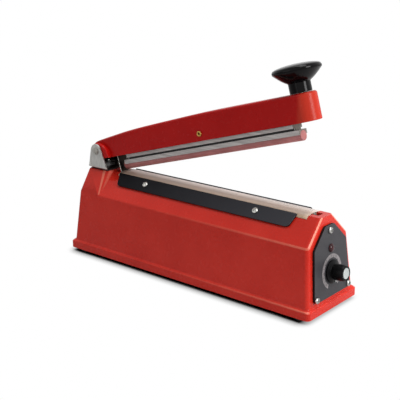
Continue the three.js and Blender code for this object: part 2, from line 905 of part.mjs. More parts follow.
function makeHingeBracket() {
  const half = bracketWidth / 2;
  const outline = cheekOutline();
  const floor = box(
    [bracketStart, bracketStart + bracketLength],
    [-half, half],
    [bracketBottom, bracketTop],
  );
  const cheeks = [
    slab(outline, [-half, -cheekInner]),
    slab(outline, [cheekInner, half]),
  ];
  const pinHole = rod(
    hingePinRadius + runningClearance,
    [-half - overrun, half + overrun],
    boreFacets,
    'y',
    [hingeSetback, 0, hingeHeight],
  );
  const screwHoles = bracketScrewSides.map((side) =>
    rod(bracketScrewRadius + holeClearance, [0, bracketTop + overrun], screwFacets, 'z', [
      bracketScrewSetback,
      (side * bracketScrewSpacing) / 2,
      0,
    ]),
  );
  return cut(join(floor, ...cheeks), pinHole, ...screwHoles);
}

piece('bracket_gasket', makeGasket(), rubber);
piece('hinge_bracket', makeHingeBracket(), satinSteel);
bracketScrewSides.forEach((side, i) => {
  const length = bracketThickness + gasketThickness + bracketScrewLength;
  const shape = screw(bracketHeadRadius, bracketHeadHeight, bracketScrewRadius, length);
  shape.translate(bracketScrewSetback, (side * bracketScrewSpacing) / 2, bracketTop);
  piece(`bracket_screw_${i + 1}`, shape, brightSteel);
});

function makeHingePin() {
  const half = bracketWidth / 2 + seatGap;
  const place = [hingeSetback, 0, hingeHeight];
  const nearEnd = -half - pinClipThickness - 2 * seatGap;
  const shank = rod(hingePinRadius, [nearEnd, half + hingeHeadHeight / 2], boreFacets, 'y', place);
  const head = rod(hingeHeadRadius, [half, half + hingeHeadHeight], boreFacets, 'y', place);
  return join(shank, head);
}

// An open ring that snaps on the near end of the pin, its mouth turned down and to the rear
function makePinClip() {
  const end = -bracketWidth / 2 - seatGap;
  const start = end - pinClipThickness;
  const ring = rod(pinClipRadius, [start, end], boreFacets, 'y');
  const bore = rod(hingePinRadius + runningClearance, [start - overrun, end + overrun], boreFacets, 'y');
  const mouthSpan = [-pinClipMouth / 2, pinClipMouth / 2];
  const mouth = box(mouthSpan, [start - overrun, end + overrun], [-2 * pinClipRadius, 0]);
  const clip = toGeometry(cut(ring, bore, mouth));
  return clip.rotateY(radians(pinClipDegrees)).translate(hingeSetback, 0, hingeHeight);
}

piece('hinge_pin', makeHingePin(), brightSteel);
piece('pin_clip', makePinClip(), darkSteel);

// Arm casting: a channel that is open below, with a half-round nose and a wide hinge boss.
// Each pair is a share of the nose reach and a share of the crown height.
const armTopShares = [
  [0.013, 0.63],
  [0.054, 0.692],
  [0.1, 0.754],
  [0.158, 0.827],
  [0.22, 0.88],
  [0.283, 0.913],
  [0.36, 0.943],
  [0.439, 0.971],
  [0.52, 0.994],
  [0.6, 1],
  [0.7, 0.995],
  [0.79, 0.98],
  [0.93, 0.955],
];
const noseTop = armTopShares[armTopShares.length - 1][1] * armCrown;

function armSide(drop, rearRadius) {
  const depth = -armDepth;
  const reach = armNoseReach + armWidth / 2;
  const rearTop = radians(armRearTopDegrees);
  const rearBottom = radians(armRearBottomDegrees);
  return [
    [rearRadius * Math.cos(rearBottom), depth],
    [reach, depth],
    [reach, noseTop - drop],
    ...armTopShares.map(([u, w]) => [u * armNoseReach, w * armCrown - drop]).reverse(),
    ...arc([0, 0], rearRadius, rearTop, rearBottom, 2 * cornerFacets),
  ];
}

// A strip seen from above, square at the rear and half round at the front
function nosedPlan(half, rear, noseCentre) {
  return [
    [rear, -half],
    ...arc([noseCentre, 0], half, -quarterTurn, quarterTurn, 3 * cornerFacets),
    [rear, half],
  ];
}

function hingeBossOutline() {
  const centre = [0, -hingeBossDrop];
  const low = Math.asin((hingeBossDrop - armDepth) / hingeBossBulge);
  return [
    ...arc(centre, hingeBossBulge, low, quarterTurn, 2 * cornerFacets),
    ...arc([0, 0], hingeBossRearRadius, quarterTurn, halfTurn, cornerFacets),
    [-hingeBossRearRadius, -armDepth],
  ];
}

// The spring's place in the arm's frame: its axis is square to the seat half way through the stroke
const springTop = hingeHeight + springTopRise;
const springSeatAt = new THREE.Vector2(springOffset, springTopRise).rotateAround(
  new THREE.Vector2(0, 0),
  -armOpen,
);

function makeSpringSeat() {
  const length = springSeatRoot - springSeatAt.y;
  const shape = revolved(
    [[0, 0], [springSeatRadius, 0], [springSeatRadius, length], [0, length]],
    boreFacets,
  );
  shape.rotateY(armMiddle);
  shape.translate(springSeatAt.x, 0, springSeatAt.y);
  return solid(shape);
}

function makeArmCasting() {
  const half = armWidth / 2;
  const innerHalf = half - armWall;
  const rear = -2 * hingeBossRadius;
  const depthSpan = [-armDepth - overrun, armCrown + overrun];
  const outer = slab(armSide(0, hingeBossRadius), [-half, half]).intersect(
    plate(nosedPlan(half, rear, armNoseReach), depthSpan),
  );
  const boss = slab(hingeBossOutline(), [-hingeBossWidth / 2, hingeBossWidth / 2]);
  const hollowSide = armSide(armWeb, hingeBossRadius - armWall);
  const channel = slab(hollowSide, [-innerHalf, innerHalf]).intersect(
    plate(nosedPlan(innerHalf, rear, armNoseReach), depthSpan),
  );
  const mouth = box(
    [-hingeBossRadius / 2, armNoseReach],
    [-innerHalf, innerHalf],
    [-armDepth - overrun, -armDepth / 2],
  );
  const across = [-hingeBossWidth, hingeBossWidth];
  const hingeHole = rod(hingePinRadius + runningClearance, across, boreFacets, 'y');
  const frameHole = rod(framePinRadius + holeClearance, across, boreFacets, 'y', [
    framePinReach,
    0,
    -framePinDrop,
  ]);
  const knobHole = rod(knobScrewRadius + holeClearance, [0, armCrown + overrun], screwFacets, 'z', [
    knobReach,
    0,
    0,
  ]);
  const bladeHole = rod(
    bladeScrewRadius + holeClearance,
    [0, bladeLegHeight + bladeScrewLength + seatGap],
    screwFacets,
    'z',
    [bladeReach + bladeLegLength / 2 + bladeThickness, 0, 0],
  );
  const shell = cut(join(outer, boss), channel, mouth);
  const seat = makeSpringSeat().intersect(join(outer, boss));
  return cut(join(shell, seat), hingeHole, frameHole, knobHole, bladeHole);
}

piece('arm_casting', makeArmCasting(), armEnamel, armFrame);

// Return spring: one unbroken wire, whose two ends stand square on the bracket and under the seat
function springPath() {
  const low = bracketTop + seatGap;
  const high = springTop - springSeatRadius * Math.sin(armOpen - armMiddle) - seatGap;
  const bend = springWire;
  const points = [];
  const firstAngle = bend / springRadius;
  const lastAngle = 2 * halfTurn * springTurns - firstAngle;
  const start = low + springWire + bend;
  const end = high - springWire - bend;
  const onCircle = (angle, height) =>
    new THREE.Vector3(springRadius * Math.cos(angle), springRadius * Math.sin(angle), height);
  points.push(onCircle(0, low), onCircle(0, low + springWire));
  for (let i = 1; i < springBendSteps; i += 1) {
    const turn = (quarterTurn * i) / springBendSteps;
    const angle = firstAngle * (1 - Math.cos(turn));
    points.push(onCircle(angle, low + springWire + bend * Math.sin(turn)));
  }
  const steps = springSteps * springTurns;
  for (let i = 0; i <= steps; i += 1) {
    const share = i / steps;
    points.push(onCircle(firstAngle + (lastAngle - firstAngle) * share, start + (end - start) * share));
  }
  for (let i = springBendSteps - 1; i > 0; i -= 1) {
    const turn = (quarterTurn * i) / springBendSteps;
    const angle = lastAngle + firstAngle * Math.cos(turn);
    points.push(onCircle(angle, high - springWire - bend * Math.sin(turn)));
  }
  const closing = lastAngle + firstAngle;
  points.push(onCircle(closing, high - springWire), onCircle(closing, high));
  return points;
}

function leastGap(points, wire) {
  let least = Infinity;
  const skip = springSteps / 2;
  for (let i = 0; i < points.length; i += 1) {
    for (let j = i + skip; j < points.length; j += 1) {
      least = Math.min(least, points[i].distanceTo(points[j]) - wire);
    }
  }
  return least;
}

function tube(points, radius, sides) {
  const vertices = [];
  const faces = [];
  const ahead = new THREE.Vector3();
  const across = new THREE.Vector3(1, 0, 0);
  points.forEach((point, i) => {
    const before = points[Math.max(i - 1, 0)];
    const after = points[Math.min(i + 1, points.length - 1)];
    ahead.subVectors(after, before).normalize();
    across.addScaledVector(ahead, -across.dot(ahead)).normalize();
    const upward = new THREE.Vector3().crossVectors(ahead, across);
    for (let s = 0; s < sides; s += 1) {
      const angle = (2 * halfTurn * s) / sides;
      const corner = point.clone();
      corner.addScaledVector(across, radius * Math.cos(angle));
      corner.addScaledVector(upward, radius * Math.sin(angle));
      vertices.push(corner.x, corner.y, corner.z);
    }
  });
  const last = (points.length - 1) * sides;
  for (let i = 0; i < last; i += sides) {
    for (let s = 0; s < sides; s += 1) {
      const next = (s + 1) % sides;
      faces.push(i + s, i + next, i + sides + next, i + s, i + sides + next, i + sides + s);
    }
  }
  for (let s = 1; s + 1 < sides; s += 1) {
    faces.push(0, s + 1, s, last, last + s, last + s + 1);
  }
  const geometry = new THREE.BufferGeometry();
  geometry.setAttribute('position', new THREE.Float32BufferAttribute(vertices, 3));
  geometry.setIndex(faces);
  return geometry;
}

const springPoints = springPath();
console.log(`return_spring: least gap to itself ${leastGap(springPoints, springWire).toFixed(2)} mm`);
const springTube = tube(springPoints, springWire / 2, springFacets);
springTube.translate(hingeSetback + springOffset, 0, 0);
piece('return_spring', springTube, darkSteel);

// Actuator blade: a bent strip that hangs through the slot and presses the switch as the arm closes
function makeBlade() {
  const legEnd = bladeReach + bladeLegLength;
  const legLow = bladeLegHeight - bladeThickness;
  const outline = [
    [bladeReach, bladeLegHeight],
    [bladeReach, 0],
    [bladeReach + bladeSlope, -bladeDepth],
    [bladeReach + bladeSlope + bladeThickness, -bladeDepth],
    [bladeReach + bladeThickness, 0],
    [bladeReach + bladeThickness, legLow],
    [legEnd, legLow],
    [legEnd, bladeLegHeight],
  ];
  const hole = rod(bladeScrewRadius + holeClearance, [0, bladeLegHeight + overrun], screwFacets, 'z', [
    bladeReach + bladeLegLength / 2 + bladeThickness,
    0,
    0,
  ]);
  return cut(slab(outline, [-bladeWidth / 2, bladeWidth / 2]), hole);
}

piece('actuator_blade', makeBlade(), darkSteel, armFrame);
const bladeScrew = screw(
  bladeHeadRadius,
  bladeHeadHeight,
  bladeScrewRadius,
  bladeThickness + bladeScrewLength,
);
bladeScrew.rotateX(halfTurn);
bladeScrew.translate(
  bladeReach + bladeLegLength / 2 + bladeThickness,
  0,
  bladeLegHeight - bladeThickness - layGap,
);
piece('blade_screw', bladeScrew, brightSteel, armFrame);

// Press knob: a stem that flares into a wide dished crown
function makePressKnob() {
  const seat = noseTop + seatGap;
  const flare = seat + knobStemHeight;
  const rim = flare + knobFlareHeight;
  const crown = rim + knobRimHeight;
  const bore = knobScrewRadius + holeClearance;
  const boreDepth = seat + knobScrewLength;
  const profile = [
    [0, boreDepth],
    [bore, boreDepth],
    [bore, seat],
    [knobStemRadius, seat],
    [knobStemRadius, flare],
  ];
  for (let i = 1; i < domeFacets; i += 1) {
    const share = i / domeFacets;
    const radius = knobStemRadius + (knobRimRadius - knobStemRadius) * share;
    profile.push([radius, flare + knobFlareHeight * share ** knobBowlPower]);
  }
  profile.push([knobRimRadius, rim], [knobRimRadius, crown]);
  for (let i = 1; i <= domeFacets; i += 1) {
    const turn = (quarterTurn * i) / domeFacets;
    const radius = i < domeFacets ? knobRimRadius * Math.cos(turn) : 0;
    profile.push([radius, crown + (knobDomeHeight - knobRimHeight) * Math.sin(turn)]);
  }
  return revolved(profile, knobFacets).translate(knobReach, 0, 0);
}

piece('press_knob', makePressKnob(), blackPlastic, armFrame);
const knobScrew = screw(
  knobHeadRadius,
  knobHeadHeight,
  knobScrewRadius,
  armWeb + knobScrewLength - seatGap,
);
knobScrew.rotateX(halfTurn);
knobScrew.translate(knobReach, 0, noseTop - armWeb - seatGap);
piece('knob_screw', knobScrew, brightSteel, armFrame);

// Frame pin: a brass rivet through both walls of the arm
function makeFramePin() {
  const half = armWidth / 2 + seatGap;
  const tip = half + framePinHeadHeight;
  const profile = [
    [0, -tip],
    [framePinHeadRadius, -tip],
    [framePinHeadRadius, -half],
    [framePinRadius, -half],
    [framePinRadius, half],
    [framePinHeadRadius, half],
    [framePinHeadRadius, tip],
    [0, tip],
  ];
  return revolved(profile, boreFacets, 'y').translate(framePinReach, 0, -framePinDrop);
}

piece('frame_pin', makeFramePin(), brass, armFrame);

// Rubber frame: an extruded rail with a neck, a clamp for the rod and two ears for its pin
function makeRubberFrame() {
  const half = frameWidth / 2;
  const neckTop = -frameTopDrop - frameTopHeight;
  const clampTop = neckTop - frameNeckHeight;
  const neckHalf = frameNeckWidth / 2;
  const top = plate(nosedPlan(half, frameTopStart, frameTopEnd - half), [neckTop, -frameTopDrop]);
  const neck = plate(
    nosedPlan(neckHalf, frameTopStart, frameNeckEnd - neckHalf),
    [clampTop, neckTop],
  );
  const clamp = box(
    [frameClampStart, frameClampEnd],
    [-half, half],
    [clampTop - frameClampHeight, clampTop],
  );
  const lugSpan = [framePinReach - frameLugLength / 2, framePinReach + frameLugLength / 2];
  const lugTop = -framePinDrop + frameLugRise;
  const ears = [-1, 1].map((side) => {
    const sides = [side * half, side * (half - frameLugWall)].sort((a, b) => a - b);
    return box(lugSpan, sides, [-frameTopDrop, lugTop]);
  });
  const socket = rod(
    rodRadius + holeClearance,
    [rodStart - overrun, rodEnd + overrun],
    boreFacets,
    'x',
    [0, 0, -rodDrop],
  );
  const pinHole = rod(framePinRadius + holeClearance, [-armWidth, armWidth], boreFacets, 'y', [
    framePinReach,
    0,
    -framePinDrop,
  ]);
  return cut(join(top, neck, clamp, ...ears), socket, pinHole);
}

piece('rubber_frame', makeRubberFrame(), extrudedAluminium, armFrame);
const siliconeRod = rod(rodRadius, [rodStart, rodEnd], boreFacets, 'x', [0, 0, -rodDrop]);
piece('silicone_rod', siliconeRod, silicone, armFrame);

// Heated strip, from the housing up: insulation bar, ribbon, cloth, clamp strips
const barTop = bedHeight + barThickness;
const ribbonTop = barTop + ribbonThickness;
const terminalTop = bedHeight - terminalWell + terminalHeight;

piece(
  'insulation_bar',
  box([barStart, barEnd], [-barWidth / 2, barWidth / 2], [bedHeight, barTop]),
  fibreBoard,
);

function makeRibbon() {
  const low = terminalTop;
  const rear = barStart - seatGap;
  const front = barEnd + seatGap;
  const upper = [
    [rear - ribbonBend - ribbonTail, low],
    [rear - ribbonBend, low],
    [rear, barTop],
    [front, barTop],
    [front + ribbonBend, low],
    [front + ribbonBend + ribbonTail, low],
  ];
  const outline = [
    ...upper,
    ...upper.map(([x, z]) => [x, z + ribbonThickness]).reverse(),
  ];
  const holes = [terminalRearStart, terminalFrontStart].map((start) =>
    rod(terminalScrewRadius + holeClearance, [0, ridgeHeight], screwFacets, 'z', [
      start + terminalLength / 2,
      0,
      0,
    ]),
  );
  return cut(slab(outline, [-ribbonWidth / 2, ribbonWidth / 2]), ...holes);
}

piece('heating_ribbon', makeRibbon(), nichrome);

function makeCloth() {
  const lap = (lift) => {
    const rise = slopeLength - clothLap;
    const y = shoulderHalf - rise * Math.cos(slopeAngle) + lift * Math.sin(slopeAngle);
    const z = shoulderHeight + rise * Math.sin(slopeAngle) + lift * Math.cos(slopeAngle);
    return [y, z];
  };
  const edge = (lift) => {
    const y = slopeHalfAt(bedHeight) + lift * Math.tan(slopeAngle / 2);
    return [y, bedHeight + lift];
  };
  const crest = (lift) => [ribbonWidth / 2 + seatGap + lift / 2, ribbonTop + lift];
  const flank = (lift) => [barWidth / 2 + seatGap + lift, barTop + lift];
  const side = (lift) => [lap(lift), edge(lift), flank(lift), crest(lift)];
  const mirrored = (points) => points.map(([y, z]) => [-y, z]).reverse();
  const under = side(layGap);
  const over = side(layGap + clothThickness);
  const outline = [...under, ...mirrored(under), ...mirrored(over).reverse(), ...[...over].reverse()];
  return rail(outline, [clothStart, clothEnd]);
}

piece('ptfe_cloth', makeCloth(), tanCloth);

function stripOutline() {
  const corners = [
    [stripStart + stripRearSlant, stripRise],
    [stripEnd - stripFrontSlant, stripRise],
    [stripEnd, stripRise + stripWidth],
    [stripStart, stripRise + stripWidth],
  ];
  const radii = [stripLowCorner, stripLowCorner, stripHighCorner, stripHighCorner];
  return roundedPolygon(corners, radii, cornerFacets);
}

const stripLift = layGap + clothThickness + layGap;
for (const [name, side] of [['near', -1], ['far', 1]]) {
  const flat = plate(stripOutline(), [stripLift, stripLift + stripThickness]);
  const holes = stripScrewPlaces.map((x) =>
    rod(stripScrewRadius + holeClearance, [-overrun, overrun], screwFacets, 'z', [
      x,
      stripRise + stripScrewRise,
      0,
    ]),
  );
  const strip = onSlope(toGeometry(cut(flat, ...holes)), side);
  piece(`clamp_strip_${name}`, strip, blackAluminium);
  stripScrewPlaces.forEach((x, i) => {
    const length = stripThickness + stripScrewLength;
    const shape = screw(stripHeadRadius, stripHeadHeight, stripScrewRadius, length);
    const lift = stripLift + stripThickness + layGap;
    const placed = onSlope(shape, side, x, stripRise + stripScrewRise, lift);
    piece(`clamp_screw_${name}_${i + 1}`, placed, brightSteel);
  });
}

for (const [name, start] of [['front', terminalFrontStart], ['rear', terminalRearStart]]) {
  const floor = bedHeight - terminalWell;
  const centre = start + terminalLength / 2;
  const block = box(
    [start, start + terminalLength],
    [-terminalWidth / 2, terminalWidth / 2],
    [floor, terminalTop],
  );
  const holeSpan = [floor - overrun, ridgeHeight];
  const hole = rod(terminalScrewRadius + holeClearance, holeSpan, screwFacets, 'z', [
    centre,
    0,
    0,
  ]);
  piece(`terminal_${name}`, cut(block, hole), brass);
  const shape = screw(terminalHeadRadius, terminalHeadHeight, terminalScrewRadius, terminalScrewLength);
  shape.translate(centre, 0, terminalTop + ribbonThickness);
  piece(`terminal_screw_${name}`, shape, brightSteel);
}

// End panel and what it carries, in the panel's own frame
function panelOutline() {
  const half = panelHalves;
  const level = [alongPanel(panelBottom), alongPanel(panelShoulder), alongPanel(panelTop)];
  const corners = [
    [-half[0], level[0]],
    [half[0], level[0]],
    [half[1], level[1]],
    [half[2], level[2]],
    [-half[2], level[2]],
    [-half[1], level[1]],
  ];
  return roundedPolygon(corners, corners.map(() => panelCorner), cornerFacets);
}

function makePanel() {
  const holes = panelScrewPlaces.map(([y, z]) =>
    rod(panelScrewRadius + holeClearance, [-overrun, overrun], screwFacets, 'x', [0, y, z]),
  );
  const bushing = rod(potBushingRadius + holeClearance, [-overrun, overrun], boreFacets, 'x');
  const lamp = rod(lampBodyRadius + holeClearance, [-overrun, overrun], boreFacets, 'x', [
    0,
    0,
    alongPanel(lampHeight),
  ]);
  return cut(rail(panelOutline(), [seatGap, panelFace]), ...holes, bushing, lamp);
}

piece('end_panel', makePanel(), greyPanel, panelFrame);
panelScrewPlaces.forEach(([y, z], i) => {
  const length = panelScrewLength;
  const shape = screw(panelHeadRadius, panelHeadHeight, panelScrewRadius, length);
  shape.applyMatrix4(axisTurns.x);
  shape.translate(panelFace + seatGap, y, z);
  piece(`panel_screw_${i + 1}`, shape, brightSteel, panelFrame);
});

function makeLamp() {
  const base = panelFace + seatGap;
  const rim = base + lampDome / 4;
  const profile = [
    [0, base - lampBodyLength],
    [lampBodyRadius, base - lampBodyLength],
    [lampBodyRadius, base],
    [lampRadius, base],
    [lampRadius, rim],
  ];
  for (let i = 1; i <= domeFacets; i += 1) {
    const turn = (quarterTurn * i) / domeFacets;
    const radius = i < domeFacets ? lampRadius * Math.cos(turn) : 0;
    profile.push([radius, rim + (lampDome - lampDome / 4) * Math.sin(turn)]);
  }
  return revolved(profile, boreFacets, 'x').translate(0, 0, alongPanel(lampHeight));
}

piece('indicator_lamp', makeLamp(), redLens, panelFrame);

const shaftBore = potShaftRadius + runningClearance;
const shaftTop = panelFace + timerHeight - 2 * timerCapThickness - seatGap;

function makePot() {
  const floor = -potShaftDepth;
  const profile = [
    [0, -potDepth],
    [potRadius, -potDepth],
    [potRadius, 0],
    [potBushingRadius, 0],
    [potBushingRadius, potBushingLength + seatGap],
    [shaftBore, potBushingLength + seatGap],
    [shaftBore, floor],
    [0, floor],
  ];
  return revolved(profile, boreFacets, 'x');
}

function makePotNut() {
  const low = panelFace + seatGap;
  const profile = [
    [0, low],
    [potNutRadius, low],
    [potNutRadius, low + potNutHeight],
    [0, low + potNutHeight],
  ];
  const nut = solid(revolved(profile, nutSides, 'x'));
  const bore = rod(potBushingRadius + runningClearance, [-overrun, 2 * overrun], boreFacets, 'x');
  return cut(nut, bore);
}

function makePotShaft() {
  return rod(potShaftRadius, [seatGap - potShaftDepth, shaftTop], boreFacets, 'x');
}

piece('timer_pot', makePot(), satinSteel, panelFrame);
piece('pot_nut', makePotNut(), brightSteel, panelFrame);
piece('pot_shaft', makePotShaft(), brightSteel, panelFrame);

// Timer knob: a skirt, a grip and a recess for its cap, with a pointer on the skirt
function makeTimerKnob() {
  const low = panelFace + 2 * seatGap;
  const skirtTop = low + timerSkirtHeight;
  const neck = skirtTop + timerNeckRise / 2;
  const top = panelFace + timerHeight;
  const capFloor = top - timerCapThickness;
  const hollowRadius = potNutRadius + seatGap;
  const hollowTop = potBushingLength + 2 * seatGap;
  const bore = shaftBore;
  const capRadius = timerCapRadius + holeClearance;
  const profile = [
    [0, shaftTop + seatGap],
    [bore, shaftTop + seatGap],
    [bore, hollowTop],
    [hollowRadius, hollowTop],
    [hollowRadius, low],
    [timerSkirtRadius, low],
    [timerSkirtRadius, skirtTop],
    [timerBodyRadius, neck],
    [timerTopRadius, capFloor],
    [timerRimRadius, top],
    [capRadius, top],
    [capRadius, capFloor],
    [0, capFloor],
  ];
  const body = solid(revolved(profile, capFacets, 'x'));
  const pointer = new THREE.BoxGeometry(
    timerPointerRise * 2,
    timerPointerWidth,
    timerSkirtRadius - timerBodyRadius,
  );
  pointer.translate(skirtTop, 0, -(timerSkirtRadius + timerBodyRadius) / 2);
  pointer.rotateX(radians(timerPointerDegrees));
  return join(body, solid(pointer));
}

piece('timer_knob', makeTimerKnob(), blackPlastic, panelFrame);
const capSeat = panelFace + timerHeight - timerCapThickness + layGap;
piece(
  'knob_cap',
  rod(timerCapRadius, [capSeat, capSeat + timerCapThickness - layGap], capFacets, 'x'),
  whiteCap,
  panelFrame,
);

// Timer board, carried by the potentiometer, with its relay
const boardFace = -potDepth - seatGap;
piece(
  'timer_board',
  box(
    [boardFace - boardThickness, boardFace],
    [-boardHalf, boardHalf],
    [-boardHeight / 2, boardHeight / 2],
  ),
  circuitBoard,
  panelFrame,
);
piece(
  'timer_relay',
  box(
    [boardFace - boardThickness - layGap - relayLength, boardFace - boardThickness - layGap],
    [-relayWidth / 2, relayWidth / 2],
    [relayRise - relayHeight / 2, relayRise + relayHeight / 2],
  ),
  relayBlue,
  panelFrame,
);

// Transformer: laminated core with two windows, two coils round its middle leg, and a strap
const coreMiddle = coreStart + coreLength / 2;
const coreBottom = plateTop;
const coreTop = coreBottom + coreHeight;
const windowBottom = coreBottom + coreYoke;
const windowTop = coreTop - coreYoke;

function makeCore() {
  const half = coreStack / 2;
  const block = box([coreStart, coreStart + coreLength], [-half, half], [coreBottom, coreTop]);
  const windows = [-1, 1].map((side) => {
    const near = coreMiddle + (side * coreLeg) / 2;
    const far = coreMiddle + side * (coreLength / 2 - coreYoke);
    const span = [near, far].sort((a, b) => a - b);
    return box(span, [-half - overrun, half + overrun], [windowBottom, windowTop]);
  });
  return cut(block, ...windows);
}

function makeCoil([low, high]) {
  const innerHalf = [coreLeg / 2 + seatGap, coreStack / 2 + seatGap];
  const outerHalf = [coreLength / 2 - coreYoke - seatGap, coreStack / 2 + coilOverhang];
  const ring = (grow) => [
    [coreMiddle - grow[0], coreMiddle + grow[0]],
    [-grow[1], grow[1]],
  ];
  const outer = box(...ring(outerHalf), [low, high]);
  const inner = box(...ring(innerHalf), [low - overrun, high + overrun]);
  return cut(outer, inner);
}

const coilMiddle = (windowBottom + windowTop) / 2;
piece('transformer_core', makeCore(), darkSteel);
piece('primary_coil', makeCoil([windowBottom + seatGap, coilMiddle - seatGap / 2]), tapeYellow);
piece('secondary_coil', makeCoil([coilMiddle + seatGap / 2, windowTop - seatGap]), copperWinding);

function makeStrap() {
  const t = strapThickness;
  const inner = [coreStart - seatGap, coreStart + coreLength + seatGap];
  const top = coreTop + seatGap;
  const outline = [
    [inner[0] - strapFoot, plateTop],
    [inner[0], plateTop],
    [inner[0], top],
    [inner[1], top],
    [inner[1], plateTop],
    [inner[1] + strapFoot, plateTop],
    [inner[1] + strapFoot, plateTop + t],
    [inner[1] + t, plateTop + t],
    [inner[1] + t, top + t],
    [inner[0] - t, top + t],
    [inner[0] - t, plateTop + t],
    [inner[0] - strapFoot, plateTop + t],
  ];
  const holes = strapScrewPlaces().map((x) =>
    rod(strapScrewRadius + holeClearance, [0, plateTop + overrun], screwFacets, 'z', [x, 0, 0]),
  );
  return cut(slab(outline, [-strapWidth / 2, strapWidth / 2]), ...holes);
}

piece('transformer_strap', makeStrap(), satinSteel);
strapScrewPlaces().forEach((x, i) => {
  const shape = screw(strapHeadRadius, strapHeadHeight, strapScrewRadius, strapScrewLength);
  shape.translate(x, 0, plateTop + strapThickness);
  piece(`strap_screw_${i + 1}`, shape, brightSteel);
});

// Micro switch: its bracket is clamped under the pedestal by the bracket screws
const switchTop = hingeHeight - switchTopDrop;
const switchBracketTop = pedestalHeight - wallThickness - seatGap;

function makeSwitchBracket() {
  const t = switchBracketThickness;
  const front = switchSetback - seatGap;
  const rear = front - switchBracketWidth;
  const outline = [
    [rear, switchBracketTop - t],
    [front - t, switchBracketTop - t],
    [front - t, switchBracketTop - switchBracketDrop],
    [front, switchBracketTop - switchBracketDrop],
    [front, switchBracketTop],
    [rear, switchBracketTop],
  ];
  const holes = bracketScrewSides.map((side) =>
    rod(bracketScrewRadius + holeClearance, [0, pedestalHeight + overrun], screwFacets, 'z', [
      bracketScrewSetback,
      (side * bracketScrewSpacing) / 2,
      0,
    ]),
  );
  return cut(slab(outline, [-switchBracketWidth / 2, switchBracketWidth / 2]), ...holes);
}

function makeSwitch() {
  const body = box(
    [switchSetback, switchSetback + switchLength],
    [-switchWidth / 2, switchWidth / 2],
    [switchTop - switchHeight, switchTop],
  );
  const socket = rod(
    plungerRadius + runningClearance,
    [switchTop - plungerSocket, switchTop + overrun],
    boreFacets,
    'z',
    [hingeSetback + plungerOffset, 0, 0],
  );
  return cut(body, socket);
}

const plungerLow = switchTop - plungerSocket + plungerTravel + seatGap;
piece('switch_bracket', makeSwitchBracket(), satinSteel);
piece('micro_switch', makeSwitch(), blackPlastic);
piece(
  'switch_plunger',
  rod(plungerRadius, [plungerLow, switchTop + plungerRise], boreFacets, 'z', [
    hingeSetback + plungerOffset,
    0,
    0,
  ]),
  redLens,
);

// Cord grommet: two flanges with the rear wall between them
function makeGrommet() {
  const tilt = Math.atan2(rearDraft, wallRise);
  const spread = grommetFlangeRadius * Math.tan(tilt);
  const outside = rearWallAt(grommetHeight) - spread - seatGap;
  const inside = rearWallAt(grommetHeight) + wallThickness / Math.cos(tilt) + spread + seatGap;
  const profile = [
    [grommetBoreRadius, outside - grommetFlangeThickness],
    [grommetFlangeRadius, outside - grommetFlangeThickness],
    [grommetFlangeRadius, outside],
    [grommetNeckRadius, outside],
    [grommetNeckRadius, inside],
    [grommetFlangeRadius, inside],
    [grommetFlangeRadius, inside + grommetFlangeThickness],
    [grommetBoreRadius, inside + grommetFlangeThickness],
    [grommetBoreRadius, outside - grommetFlangeThickness],
  ];
  return revolved(profile, boreFacets, 'x').translate(0, 0, grommetHeight);
}

piece('cord_grommet', makeGrommet(), rubber);

export default sealer;
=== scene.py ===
import json
import math

import bmesh
import bpy
from mathutils import Matrix, Vector


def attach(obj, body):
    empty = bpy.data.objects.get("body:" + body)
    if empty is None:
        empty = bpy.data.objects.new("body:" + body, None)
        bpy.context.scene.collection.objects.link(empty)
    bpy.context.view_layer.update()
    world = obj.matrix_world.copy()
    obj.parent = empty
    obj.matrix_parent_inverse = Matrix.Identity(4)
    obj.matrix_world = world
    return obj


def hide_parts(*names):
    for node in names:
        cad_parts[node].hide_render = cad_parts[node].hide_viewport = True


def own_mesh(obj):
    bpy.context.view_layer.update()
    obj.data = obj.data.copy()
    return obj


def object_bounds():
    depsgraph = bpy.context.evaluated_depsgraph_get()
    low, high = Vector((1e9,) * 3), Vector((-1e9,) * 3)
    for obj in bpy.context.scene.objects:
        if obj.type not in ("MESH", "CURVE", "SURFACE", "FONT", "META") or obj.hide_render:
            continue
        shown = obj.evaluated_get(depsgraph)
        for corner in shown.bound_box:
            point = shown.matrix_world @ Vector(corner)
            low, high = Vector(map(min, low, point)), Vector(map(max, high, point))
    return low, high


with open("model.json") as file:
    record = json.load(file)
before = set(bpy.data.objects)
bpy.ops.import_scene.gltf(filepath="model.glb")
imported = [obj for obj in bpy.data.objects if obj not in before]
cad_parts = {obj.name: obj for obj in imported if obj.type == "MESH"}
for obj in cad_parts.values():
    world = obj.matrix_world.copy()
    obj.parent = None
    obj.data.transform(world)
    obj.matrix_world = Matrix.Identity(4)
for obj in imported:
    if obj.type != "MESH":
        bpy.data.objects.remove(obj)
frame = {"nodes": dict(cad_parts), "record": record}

cad_box = [list(corner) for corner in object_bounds()]

# Lengths are written in millimetres and turned to metres with MM. Lengths along X are measured from the
# rear edge of the flange; the shared frame's origin is under the middle of the overall length.
MM = 0.001
HALF_LENGTH = -cad_box[0][0] / MM
FLANGE_LENGTH = 300.0
FLANGE_TOP = 12.0
FLANGE_FACET = 1.3
SHOULDER_HALF = 32.1
SHOULDER_HEIGHT = 65.4
RIDGE_HALF = 9.3
RIDGE_HEIGHT = 86.9
SLOPE = math.atan2(RIDGE_HEIGHT - SHOULDER_HEIGHT, SHOULDER_HALF - RIDGE_HALF)

# The arm, open as in the photo, and the top of its nose in its own frame
HINGE = (20.6, 0.0, 107.0)
ARM_ANGLE = math.radians(15.75)
NOSE_TOP = 15.662
KNOB_REACH = 253.4

